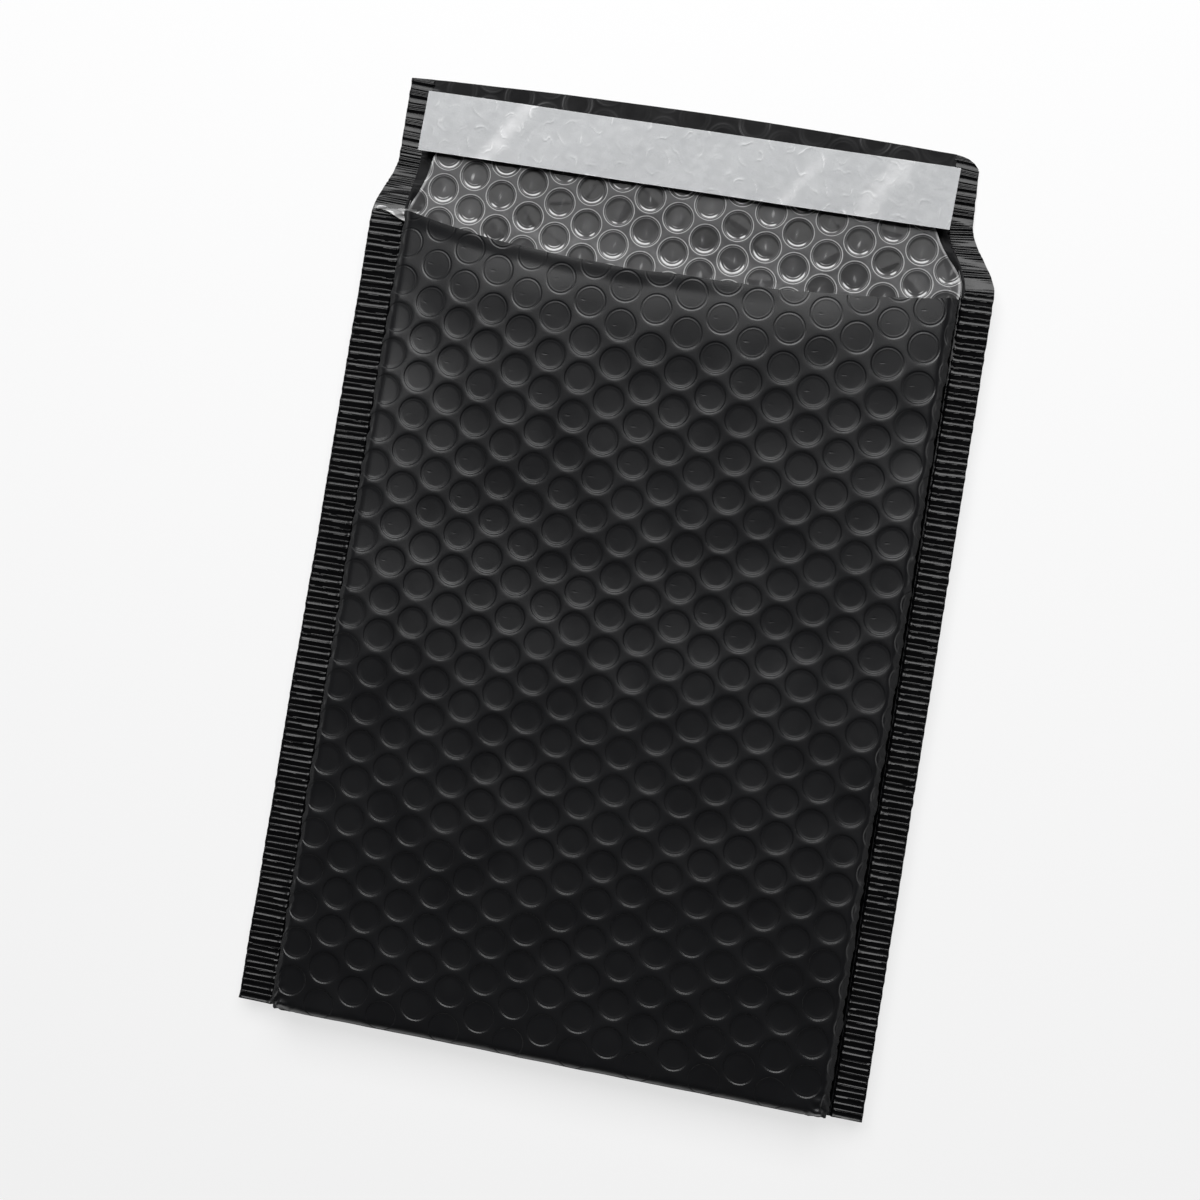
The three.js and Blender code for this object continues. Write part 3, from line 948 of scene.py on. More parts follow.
@dataclass(frozen=True, kw_only=True)
class FrontPanel(Panel):
    """Padded front of the bag, from the closed end to its free edge.

    Attributes:
        skin: thickness of the film at the free edge.
        valley: width of the dark valley between the crimped bands and the padding.
        undercut: how far the foot of a shoulder lies under its bulge.
        crumple: how far the bulge's edge wanders in and out.
        flare: how far the last millimetres before the free edge turn up.
        squareness: power of the lift over a shoulder. The less it is, the squarer the shoulder.
    """

    name: str = "film_front_panel"
    columns: int = 256
    rows: int = 356
    skin: float = 0.6
    valley: float = 0.9
    undercut: float = 0.7
    crumple: float = 0.3
    flare: float = 0.5
    squareness: float = 0.55

    def surface(self, stride: int, outer: bool) -> Array:
        """Grid of points on the panel.

        Across, the line leaves the seal round a squarish quarter ellipse, runs level and comes down
        round another. Along, it leaves the closed end round a quarter ellipse and runs to the free edge.
        The height is the seal's height plus the swell times both rounds, plus dishes, slow swells and
        the puckers that run in from the seals and the corners.

        Args:
            stride: grid steps for each point taken.
            outer: whether it is the outer surface.

        Returns:
            Columns by rows by three.
        """
        form = self.form
        inset = 0.0 if outer else self.padding
        near, far, middle, fold, along = self.shares(stride)
        run = form.fold_round * (1.0 - np.cos(QUARTER * fold))
        y = form.end_y + run + along * (form.mouth_y - form.end_y - form.fold_round)
        start = form.end_y + inset
        for _ in range(3):
            left = form.seal_x(Side.LEFT, y) + self.valley + inset
            right = form.seal_x(Side.RIGHT, y) - self.valley - inset
            x = self.across(left, right, near, far, middle)
            x = x + self.tuck_under(y, near, Side.LEFT) - self.tuck_under(y, far, Side.RIGHT)
            lip = form.lip_y(x)
            y = start + run + along * (lip - start - form.fold_round)
        lift = (np.sin(QUARTER * near) * np.sin(QUARTER * far) * np.sin(QUARTER * fold)) ** self.squareness
        base = form.seal_z(y) + 0.3
        top = form.thickness + form.rise(x, y) + 0.2 * wander(x, y, 80.0, 3) + 0.05 * wander(x, y, 30.0, 4)
        top = top + self.flare * smooth(4.5, 0.0, lip - y) * smooth(45.0, -10.0, x)
        if not outer:
            thin = self.skin + (inset - self.skin) * smooth(0.5, 7.0, lip - y)
            return as_points(x, y, base + (top - thin - base) * lift)
        flat = smooth(0.15, 0.8, lift) * (0.35 + 0.65 * smooth(4.0, 22.0, y - form.end_y))
        z = base + (top - base) * lift + flat * self.relief.height(x, y, lip)
        return as_points(x, y, z + self.puckers(x, y, lift))

    def tuck_under(self, y: Array, turn: Array, side: Side) -> Array:
        """How far a shoulder's foot lies under the padding, which bulges unevenly over the seal.

        Args:
            y: positions along.
            turn: share of the way up the shoulder.
            side: which shoulder.

        Returns:
            Distance towards the bag's middle.
        """
        uneven = 0.5 * np.sin(TURN * (y + 0.9 * wander(y, y * 0.0, 9.0, 55)) / self.form.rib_pitch)
        uneven = uneven + 0.6 * wander(y, y * 0.0, 6.0, 57 + side.value)
        return self.undercut * smooth(0.4, 0.0, turn) + self.crumple * uneven * smooth(0.9, 0.2, turn)

    def marks(self, points: Array) -> dict[str, Array]:
        """What the finish reads of the dishes, with none on the shoulders and at the closed end.

        Args:
            points: the outer face's grid.

        Returns:
            Named values at each point.
        """
        x, y = points[..., 0], points[..., 1]
        marks = self.relief.marks(x, y, self.form.lip_y(x))
        _, dy, _, _ = DISHES.nearest(x, y)
        at_fold = smooth(4.6, 3.6, y - dy - self.form.end_y)
        edge = np.maximum(smooth(1.6, 0.5, self.form.from_side(x, y)), at_fold)
        marks["dish_distance"] = marks["dish_distance"] + 3.0 * edge
        marks["pinch_distance"] = marks["pinch_distance"] + 3.0 * edge
        seam = smooth(3.8, 2.4, self.form.from_side(x, y) + 0.25 * wander(x, y, 5.0, 58))
        marks["crumpled"] = np.maximum(seam, smooth(1.6, 0.6, y - self.form.end_y))
        return marks

    def puckers(self, x: Array, y: Array, lift: Array) -> Array:
        """Small folds: crimp marks that run into the shoulders, and diagonal tucks in the corners.

        Args:
            x: positions across.
            y: positions along.
            lift: share of the full swell at each point.

        Returns:
            Height to add.
        """
        form = self.form
        from_side = form.from_side(x, y)
        low = bump(lift, 0.45, 0.35) * smooth(0.0, 0.25, lift)
        scallop = 0.24 * np.sin(TURN * y / form.rib_pitch) * low * smooth(5.0, 1.0, from_side)
        from_end = y - form.end_y
        corner = smooth(15.0, 4.0, 1.3 * from_side + 0.8 * from_end) * smooth(0.0, 0.3, lift)
        diagonal = np.sin(TURN * (from_side * 0.7 - from_end + 0.8 * np.sin(1.3 * x)) / 3.1)
        tuck = 0.6 * corner * diagonal
        ripple = 0.05 * wander(x, 0.25 * y, 12.0, 8) * smooth(14.0, 2.0, from_end) * smooth(0.1, 0.6, lift)
        return scallop + tuck + ripple


@dataclass(frozen=True, kw_only=True)
class BackPanel(Panel):
    """Padded back of the bag, which lies on the table.

    Attributes:
        overlap: how far it runs on under the flap's film.
        lip_distance: distance from a free edge, which it hasn't, so more than any slack film has.
    """

    name: str = "film_back_panel"
    outer_up: bool = False
    relief: DishRelief = DishRelief(depth=0.4)
    columns: int = 180
    rows: int = 260
    side_turn: int = 8
    fold_turn: int = 8
    padding: float = 0.9
    overlap: float = 6.0
    lip_distance: float = 60.0

    def surface(self, stride: int, outer: bool) -> Array:
        """Grid of points on the panel: the front panel's form turned down, without the rise.

        Args:
            stride: grid steps for each point taken.
            outer: whether it is the outer surface.

        Returns:
            Columns by rows by three.
        """
        form = self.form
        inset = 0.0 if outer else self.padding
        near, far, middle, fold, along = self.shares(stride)
        start = form.end_y + inset
        end = form.mouth_y + self.overlap
        run = form.fold_round * (1.0 - np.cos(QUARTER * fold))
        y = start + run + along * (end - start - form.fold_round)
        left = form.seal_x(Side.LEFT, y) - 0.4 + inset
        right = form.seal_x(Side.RIGHT, y) + 0.4 - inset
        x = self.across(left, right, near, far, middle)
        lift = np.sin(QUARTER * near) * np.sin(QUARTER * far) * np.sin(QUARTER * fold)
        base = form.seal_z(y) + 0.6
        floor = 0.05 + inset
        z = base - (base - floor) * lift
        if outer:
            flat = smooth(0.3, 0.9, lift) * smooth(form.mouth_y, form.mouth_y - 12.0, y)
            z = z - flat * np.minimum(0.0, self.relief.height(x, y, y + self.lip_distance))
        return as_points(x, y, z)

    def marks(self, points: Array) -> dict[str, Array]:
        """What the finish reads of the dishes, with none beside the seals.

        Args:
            points: the outer surface's grid.

        Returns:
            Named values at each point.
        """
        x, y = points[..., 0], points[..., 1]
        marks = self.relief.marks(x, y, y + self.lip_distance)
        edge = smooth(3.0, 0.8, self.form.from_side(x, y))
        marks["dish_distance"] = marks["dish_distance"] + 3.0 * edge
        return marks


@dataclass(frozen=True, kw_only=True)
class Flap(Sheet):
    """Open flap: the back film runs on past the mouth and lies on the table.

    Attributes:
        overlap: how far it runs back under the bag's mouth.
        lift: height of its underside over the table.
        skin: thickness of the film.
        ring_radius: radius of the rings that the bubbles have marked in the bare film.
    """

    name: str = "film_flap"
    node: str = "outer_film"
    finish: Finish = FLAP_FILM
    columns: int = 400
    rows: int = 120
    overlap: float = 2.0
    lift: float = 0.15
    skin: float = 0.7
    ring_radius: float = 4.3

    def surface(self, stride: int, outer: bool) -> Array:
        """Grid of points on the flap's upper or lower face.

        The upper face is level, with a slow swell and the ring marks of the bubbles as thin ridges.

        Args:
            stride: grid steps for each point taken.
            outer: whether it is the upper face.

        Returns:
            Columns by rows by three.
        """
        form = self.form
        across, along = self.grid(stride)
        start = form.mouth_y - self.overlap
        y = start + along * (form.flap_length + self.overlap)
        for _ in range(3):
            left = form.seal_x(Side.LEFT, y) - 0.5
            right = form.seal_x(Side.RIGHT, y) + 0.5
            x = left + across * (right - left)
            y = start + along * (form.flap_end_y(x) - start)
        low = form.seal_z(y) * np.clip(1.0 - form.from_side(x, y) / 5.0, 0.0, 1.0)
        if not outer:
            return as_points(x, y, low + self.lift)
        swell = 0.14 * wander(x, y, 30.0, 21) + 0.015 * wander(x, y, 7.0, 22)
        swell = swell * smooth(0.0, 6.0, form.from_side(x, y))
        return as_points(x, y, low + self.lift + self.skin + 0.2 * self.rings(x, y) + swell)

    def rings(self, x: Array, y: Array) -> Array:
        """Ring marks of the bubbles: one or two thin rings round each, broken and unlike.

        Args:
            x: positions across.
            y: positions along.

        Returns:
            Strength of the marks, between 0 and 1.
        """
        dx, dy, column, row = BUBBLES.nearest(x, y)
        r = np.hypot(dx, dy)
        broken = 0.5 + 0.5 * np.sin(np.arctan2(dy, dx) * 2.0 + PHASES * chance(column, row, 12.0))
        strength = (0.25 + 0.75 * chance(column, row, 11.0)) * (0.3 + 0.7 * broken)
        return strength * (bump(r, self.ring_radius, 0.3) + 0.6 * bump(r, self.ring_radius - 0.9, 0.3))

    def marks(self, points: Array) -> dict[str, Array]:
        """A tone that makes the rings a little paler: a painted highlight along the raised rings."""
        return {"tone": 0.02 + 0.8 * self.rings(points[..., 0], points[..., 1])}


@dataclass(frozen=True, kw_only=True)
class SideSeal(Sheet):
    """Crimped band along one side of bag and flap.

    Attributes:
        side: which side it is on.
        flap_pitch: distance between the flap's ribs.
        crinkle: distance between the fine folds beside the mouth.
        height: height of a rib on the bag.
        crinkle_height: height of a fine fold.
        flap_height: height of a rib on the flap.
        lift: height of its underside over the bag's own line.
        skin: thickness of the band under its ribs.
    """

    node: str = "outer_film"
    finish: Finish = CRIMPED_FILM
    crease: float = 75.0
    side: Side
    flap_pitch: float
    columns: int = 20
    rows: int = 1368
    crinkle: float = 1.35
    height: float = 0.62
    crinkle_height: float = 0.42
    flap_height: float = 0.62
    lift: float = 0.15
    skin: float = 0.55

    def ribs(self, y: Array, across: Array) -> Array:
        """Relief of the crimp along the band.

        Each rib climbs towards the flap, dips over its broad top and falls steeply into the valley,
        with a thin raised line at both ends of the top. Past the mouth the ribs give way to fine
        crinkles and then to wider, lower and less even ribs, and the flap's last few millimetres are
        plain.

        Args:
            y: positions along the band.
            across: share of the way from the outer edge to the inner edge.

        Returns:
            Height over the band.
        """
        form = self.form
        jitter = 0.05 * wander(across * 3.0, y, 9.0, 31 + self.side.value)
        phase = np.mod((y + jitter) / form.rib_pitch, 1.0)
        row = np.floor((y + jitter) / form.rib_pitch)
        climb = np.mod(phase - 0.70, 1.0) / 0.40
        top = smooth(0.72, 0.63, phase) - 0.55 * np.clip(1.0 - np.abs(phase - 0.37) / 0.25, 0.0, 1.0)
        ridge = np.where(climb < 1.0, climb, top)
        lines = bump(phase, 0.12, 0.045) + bump(phase, 0.615, 0.045)
        uneven = 0.85 + 0.3 * chance(row, row * 0.0, 41.0)
        bag = self.height * uneven * (0.50 * ridge + 0.40 * lines)
        past = (y - form.mouth_y) / form.flap_length
        fine_phase = np.mod((y + 2.0 * jitter + 0.5 * across) / self.crinkle, 1.0)
        fine = self.crinkle_height * (0.5 + 0.5 * np.sin(TURN * fine_phase))
        fine = fine * (0.6 + 0.4 * wander(across, y, 5.0, 33))
        wide_y = y + 3.0 * jitter - 0.6 * across * self.side.value
        wide_phase = np.mod(wide_y / self.flap_pitch, 1.0)
        wide_row = np.floor(wide_y / self.flap_pitch)
        wide = self.flap_height * (0.5 + 0.6 * chance(wide_row, wide_row * 0.0, 42.0))
        crests = bump(wide_phase, 0.3, 0.10) + 0.75 * bump(wide_phase, 0.52, 0.07)
        wide = wide * (crests + 0.3 * bump(wide_phase, 0.8, 0.08))
        to_fine = smooth(-0.02, 0.05, past)
        to_wide = smooth(0.40, 0.52, past)
        plain = smooth(1.02, 0.95, past)
        return bag * (1.0 - to_fine) + fine * to_fine * (1.0 - to_wide) + wide * to_wide * plain

    def surface(self, stride: int, outer: bool) -> Array:
        """Grid of points on the band's upper or lower face.

        Args:
            stride: grid steps for each point taken.
            outer: whether it is the upper face.

        Returns:
            Columns by rows by three, columns towards +X.
        """
        form = self.form
        across, along = self.grid(stride)
        if self.side is Side.RIGHT:
            across = 1.0 - across
        y = form.end_y + along * (-2.0 * form.end_y)
        for _ in range(2):
            edge = form.edge_x(self.side, y)
            seam = form.seal_x(self.side, y) - 0.9 * self.side.value
            x = edge + across * (seam - edge)
            y = form.end_y + along * (form.flap_end_y(x) - form.end_y)
        x = x + 0.04 * wander(y, y * 0.0, 4.0, 51 + self.side.value) * (across < 0.01)
        corner = smooth(0.985, 1.0, along) * (1.0 - across) ** 3
        if self.side is Side.RIGHT:
            y = y - 3.0 * corner
        low = form.seal_z(y)
        if not outer:
            return as_points(x, y, low + self.lift)
        inside = smooth(1.0, 0.86, across)
        outside = 0.55 + 0.45 * smooth(0.0, 0.06, across)
        sag = 0.15 * wander(x, y, 26.0, 61 + self.side.value)
        bead = 0.35 * bump(across, 0.9, 0.05) * (0.5 + 0.5 * np.sin(TURN * y / form.rib_pitch + 1.0))
        bead = bead * smooth(form.mouth_y + 2.0, form.mouth_y - 2.0, y)
        z = low + self.lift + self.skin + self.ribs(y, across) * inside * outside + sag * inside + bead
        return as_points(x, y, z - 0.5 * (1.0 - inside))


@dataclass(frozen=True)
class BubbleRelief:
    """Air bubbles of the lining, seen from their open side as shallow bowls.

    Attributes:
        radius: of a bubble's foot.
        height: depth of a bowl.
    """

    radius: float = 4.35
    height: float = 0.34

    def surface(self, x: Array, y: Array) -> Array:
        """Depth of the bowls under the sheet between them.

        A bowl's depth falls with a high power of the distance from its middle, so that it is flat
        there and steep at its foot. The floor is dented differently from bubble to bubble.

        Args:
            x: positions across.
            y: positions along.

        Returns:
            Height over the sheet, mostly below zero.
        """
        dx, dy, column, row = BUBBLES.scattered(x, y, 0.3, 75.0)
        r = np.hypot(dx, dy)
        luck = partial(chance, column, row)
        full = self.height * (0.85 + 0.3 * luck(71.0))
        bowl = -full * np.clip(1.0 - (r / self.radius) ** 14, 0.0, 1.0)
        turn = TURN * luck(72.0)
        crease = dx * np.cos(turn) + dy * np.sin(turn)
        dent = 0.07 * bump(crease, 0.8, 1.0) * smooth(1.0, 0.5, r / self.radius)
        return bowl + dent * luck(73.0)

    def marks(self, x: Array, y: Array) -> dict[str, Array]:
        """What the finish reads: distance from a bubble's middle, tone and where the painted highlight on
        the foot lies.

        The film is dark inside a bubble, with a painted reflection in it as a paler blot and a streak, and
        paler between them. A painted highlight, a glint, lies at one or two places on the foot's lower
        side.

        Args:
            x: positions across.
            y: positions along.

        Returns:
            Named values at each point.
        """
        dx, dy, column, row = BUBBLES.scattered(x, y, 0.3, 75.0)
        r = np.hypot(dx, dy)
        luck = partial(chance, column, row)
        inside = smooth(self.radius, self.radius - 0.5, r)
        # painted reflection: a paler blot low in each bubble and a thin streak, added to its dark tone
        painted_reflection_blot = np.hypot(dx - 1.6 * (luck(85.0) - 0.5), 0.7 * (dy + 0.4))
        shade = 0.10 + 0.14 * luck(77.0) + 0.24 * bump(painted_reflection_blot, 0.0, 1.5) * luck(86.0)
        lean = 0.5 * (luck(87.0) - 0.5)
        streak = bump(dx - lean * dy - 1.5 * (luck(88.0) - 0.5), 0.0, 0.30)
        streak = streak * bump(dy, 0.9 - 1.8 * luck(89.0), 1.1) * luck(84.0)
        tone = 0.39 * (1.0 - inside) + (shade + 0.5 * streak) * inside
        turn = np.arctan2(dy, dx)
        left = -2.0 + 0.5 * (luck(78.0) - 0.5)
        right = -1.1 + 0.5 * (luck(79.0) - 0.5)
        # painted highlights: one or two glints on the lower side of each bubble's foot
        first = (0.35 + 0.65 * luck(80.0)) * bump(turn, left, 0.22 + 0.4 * luck(82.0))
        second = (0.25 + 0.75 * luck(81.0)) * bump(turn, right, 0.16 + 0.4 * luck(83.0))
        return {"bubble_distance": r, "tone": tone, "painted_glint": first + second}


@dataclass(frozen=True, kw_only=True)
class Lining(Sheet):
    """A sheet of the clear lining.

    Attributes:
        relief: its bubbles.
    """

    node: str = "bubble_lining"
    finish: Finish = CLEAR_FILM
    relief: BubbleRelief = BubbleRelief()

    def marks(self, points: Array) -> dict[str, Array]:
        """The bubbles' marks."""
        return self.relief.marks(points[..., 0], points[..., 1])


@dataclass(frozen=True, kw_only=True)
class LiningTail(Lining):
    """Lining on the flap, from behind the free edge to its end under the liner.

    Attributes:
        behind: how far it starts behind the free edge.
        skin: thickness of the sheet.
        side_gap: distance from the flap's ribs at the mouth.
        side_taper: how far it draws in towards its end.
        under_liner: how far past the liner's middle line it ends.
        layer: height of its face over the lining's underside.
    """

    name: str = "lining_on_flap"
    coarse: int = 1
    columns: int = 352
    rows: int = 128
    behind: float = 14.0
    skin: float = 0.35
    side_gap: float = 0.4
    side_taper: float = 4.6
    under_liner: float = 3.5
    layer: float = 1.1

    def surface(self, stride: int, outer: bool) -> Array:
        """Grid of points on the lining's upper or lower face.

        Args:
            stride: grid steps for each point taken.
            outer: whether it is the bubbled face.

        Returns:
            Columns by rows by three.
        """
        form = self.form
        across, along = self.grid(stride)
        start = form.mouth_y - form.lip_dip - self.behind
        y = start + along * 40.0
        for _ in range(3):
            gap = self.side_gap + self.side_taper * smooth(form.mouth_y - 2.0, form.mouth_y + 26.0, y)
            gap = gap + 4.0 * smooth(form.mouth_y - 1.0, form.mouth_y - 8.0, y)
            left = form.seal_x(Side.LEFT, y) + gap + 0.25 * np.sin(y / 2.3)
            right = form.seal_x(Side.RIGHT, y) - gap + 0.25 * np.sin(y / 1.9)
            x = left + across * (right - left)
            y = start + along * (Liner().line_y(x) + self.under_liner - start)
        edge = form.from_side(x, y)
        sheet = form.lining_floor + self.layer + 0.12 * wander(x, y, 33.0, 81)
        curl = 1.6 * smooth(4.0, 0.0, edge) * form.seal_z(y) / form.seal_lift
        z = sheet + curl + self.relief.surface(x, y) * smooth(0.2, 1.2, edge)
        return as_points(x, y, z if outer else z - self.skin)

    def marks(self, points: Array) -> dict[str, Array]:
        """The bubbles' marks, with painted highlights: a pale line along the side edges, and a paler tone
        and stronger glints beside the free edge.

        Args:
            points: the bubbled face's grid.

        Returns:
            Named values at each point.
        """
        marks = super().marks(points)
        # painted highlight: paler tone and stronger glints next to the free edge
        near = smooth(24.0, 3.0, points[..., 1] - self.form.lip_y(points[..., 0]))
        # painted highlight: a pale line along both side edges
        rim = np.zeros_like(near)
        rim[:2], rim[-2:] = 0.25, 0.25
        marks["tone"] = marks["tone"] + 0.08 * near + rim
        marks["painted_glint"] = marks["painted_glint"] * (0.7 + 0.9 * near)
        return marks


@dataclass(frozen=True, kw_only=True)
class LiningPad(Lining):
    """Lining inside the bag, under the front panel or over the back panel.

    Attributes:
        front: whether it is the front panel's lining.
        film: depth of the black film over it.
        layer: thickness of the lining with its bubbles.
        setback: how far it ends behind the free edge.
        side_gap: distance from the seals.
        end_gap: distance from the closed end.
        swell: distance over which it rises from the seals to its full height.
    """

    front: bool
    setback: float
    columns: int = 140
    rows: int = 200
    film: float = 1.9
    layer: float = 1.9
    side_gap: float = 4.2
    end_gap: float = 5.0
    swell: float = 9.0

    def surface(self, stride: int, outer: bool) -> Array:
        """Grid of points on the bubbled face or on the face against the film.

        Args:
            stride: grid steps for each point taken.
            outer: whether it is the bubbled face.

        Returns:
            Columns by rows by three.
        """
        form = self.form
        across, along = self.grid(stride)
        start = form.end_y + self.end_gap
        y = start + along * (form.mouth_y - form.lip_dip - start)
        for _ in range(3):
            left = form.seal_x(Side.LEFT, y) + self.side_gap
            right = form.seal_x(Side.RIGHT, y) - self.side_gap
            x = left + across * (right - left)
            y = start + along * (form.lip_y(x) - self.setback - start)
        share = np.minimum(form.from_side(x, y), y - form.end_y) / self.swell
        soft = np.sin(np.clip(share, 0.0, 1.0) * QUARTER) ** 0.5
        middle = form.seal_z(y) + 1.2
        thick = self.layer + self.relief.surface(x, y) if outer else 0.0
        if self.front:
            top = form.thickness + form.rise(x, y) - self.film
            return as_points(x, y, middle + (top - middle) * soft - thick)
        return as_points(x, y, middle + (self.film - 0.6 - middle) * soft + thick)


@dataclass(frozen=True, kw_only=True)
class LiningCrease(Lining):
    """Crumpled end of the clear film that is caught in the left seal at the mouth.

    Attributes:
        start: its left end, from the bag's edge.
        reach: its length.
        wide: its width at its right end.
        skin: its thickness.
    """

    name: str = "lining_crease"
    coarse: int = 1
    columns: int = 96
    rows: int = 20
    start: float = 0.8
    reach: float = 12.5
    wide: float = 4.2
    skin: float = 0.3

    def folds(self, x: Array, y: Array) -> Array:
        """Height of its ridges, which start a little way from its left end."""
        return 0.28 * wander(0.7 * x, 2.2 * y, 4.0, 98) * smooth(0.0, 0.15, self.grid(1)[0])

    def surface(self, stride: int, outer: bool) -> Array:
        """A thin tongue that widens to the right, folded in ridges.

        Args:
            stride: grid steps for each point taken.
            outer: whether it is the upper face.

        Returns:
            Columns by rows by three.
        """
        form = self.form
        along, across = self.grid(stride)
        across = across - 0.5
        wide = 1.0 + (self.wide - 1.0) * smooth(0.2, 1.0, along)
        x = form.edge_x(Side.LEFT, np.array(form.mouth_y)) + self.start + along * self.reach
        y = form.mouth_y + 2.4 - 1.6 * along + across * wide + 0.25 * np.sin(7.0 * along)
        z = form.seal_z(y) + 1.7 + 0.5 * np.sin(math.pi * along) + self.folds(x, y)
        return as_points(x, y, z if outer else z - self.skin)

    def marks(self, points: Array) -> dict[str, Array]:
        """A pale tone, paler still on the ridges as a painted highlight."""
        return {"tone": 0.62 + 2.0 * np.clip(self.folds(points[..., 0], points[..., 1]), 0.0, 1.0)}


@dataclass(frozen=True, kw_only=True)
class Liner(Sheet):
    """Release liner, turned a little on the flap.

    Attributes:
        width: along the flap.
        height: towards the flap's end.
        turn: slope of its long edges.
        middle_x: its middle.
        middle_y: its middle.
        floor: underside of the liner.
        skin: its thickness.
    """

    name: str = "liner_film"
    node: str = "release_liner"
    finish: Finish = LINER_FILM
    columns: int = 480
    rows: int = 56
    width: float = 153.5
    height: float = 17.4
    turn: float = math.radians(-1.5)
    middle_x: float = -1.0
    middle_y: float = 121.1
    floor: float = 5.1
    skin: float = 0.25

    def line_y(self, x: Array) -> Array:
        """Middle line of the liner."""
        return self.middle_y + math.tan(self.turn) * (x - self.middle_x)

    def placed(self, along: Array, up: Array, z: Array) -> Array:
        """Points given along and across the liner, turned and moved to its place.

        Args:
            along: distances from its middle along its length.
            up: distances from its middle across it.
            z: heights.

        Returns:
            Grid of points.
        """
        x = self.middle_x + along * math.cos(self.turn) - up * math.sin(self.turn)
        y = self.middle_y + along * math.sin(self.turn) + up * math.cos(self.turn)
        return as_points(x, y, z)

    def surface(self, stride: int, outer: bool) -> Array:
        """Grid of points on one face of the liner.

        It has long diagonal waves and turned ends, and the upper face has thin broken rings too.

        Args:
            stride: grid steps for each point taken.
            outer: whether it is the upper face.

        Returns:
            Columns by rows by three.
        """
        along, up = self.spread(stride)
        wave = 0.05 * np.sin((along + 0.45 * up) / 9.0 + 0.6) + 0.05 * wander(along, up, 30.0, 91)
        ends = 0.35 * smooth(0.44, 0.5, np.abs(along) / self.width)
        z = self.floor + wave + ends * np.sign(along) * 0.3
        if not outer:
            return self.placed(along, up, z)
        points = self.placed(along, up, z + self.skin)
        points[..., 2] += 0.10 * self.rings(points[..., 0], points[..., 1])
        points[..., 2] += 0.005 * wander(along, up, 3.2, 95)
        return points

    def spread(self, stride: int) -> tuple[Array, Array]:
        """Distances along and across the liner at the grid's points."""
        along, up = self.grid(stride, -0.5, 0.5)
        return along * self.width, up * self.height

    def rings(self, x: Array, y: Array) -> Array:
        """Thin broken rings where the bubbles beneath have marked the film.

        Args:
            x: positions across.
            y: positions along.

        Returns:
            Strength of the marks, from 0 to 1.
        """
        dx, dy, column, row = BUBBLES.nearest(x, y)
        skew = 0.5 + 0.25 * wander(x, y, 5.0, 97)
        r = np.hypot(dx, dy) + 0.35 * wander(x, y, 4.0, 99)
        turn = np.arctan2(dy, dx)
        broken = np.clip(np.sin(turn * 3.0 + PHASES * chance(column, row, 93.0)) + skew, 0.0, 1.0)
        size = 3.3 + 0.7 * chance(column, row, 94.0)
        arcs = bump(r, size, 0.16) + 0.6 * bump(r, size - 0.9, 0.13) * chance(column, row, 90.0)
        return (0.3 + 0.7 * chance(column, row, 92.0)) * broken * arcs

    def marks(self, points: Array) -> dict[str, Array]:
        """A tone with painted highlights, soft slanting streaks and paler long edges, and paler where the
        rings have marked the film.

        Args:
            points: the upper face's grid.

        Returns:
            The tone at each point.
        """
        along, up = self.spread(1)
        slant = along - 0.6 * up
        # painted highlights: soft slanting light streaks across the film
        painted_highlight_streaks = 0.30 * bump(slant, -52.0, 3.2) + 0.20 * bump(slant, 35.0, 2.4)
        painted_highlight_streaks = painted_highlight_streaks + 0.26 * bump(slant, 57.0, 4.0)
        # painted highlight along both long edges
        edges = 0.25 * smooth(0.35, 0.0, self.height / 2.0 - np.abs(up))
        return {"tone": 0.18 + painted_highlight_streaks + edges + 0.45 * self.rings(points[..., 0], points[..., 1])}


@dataclass(frozen=True, kw_only=True)
class Glue(Liner):
    """Band of glue under the liner, with a slightly uneven face."""

    name: str = "glue_band"
    node: str = "adhesive_strip"
    finish: Finish = GLUE
    coarse: int = 1
    columns: int = 148
    rows: int = 12
    width: float = 147.5
    height: float = 12.0
    floor: float = 4.4
    skin: float = 0.35

    def surface(self, stride: int, outer: bool) -> Array:
        """Level faces, the upper one with a slow swell.

        Args:
            stride: grid steps for each point taken.
            outer: whether it is the upper face.

        Returns:
            Columns by rows by three.
        """
        along, up = self.spread(stride)
        swell = self.skin + 0.04 * wander(along, up, 8.0, 96)
        return self.placed(along, up, self.floor + (swell if outer else 0.0))

    def marks(self, points: Array) -> dict[str, Array]:
        """None, because its finish is plain."""
        return {}


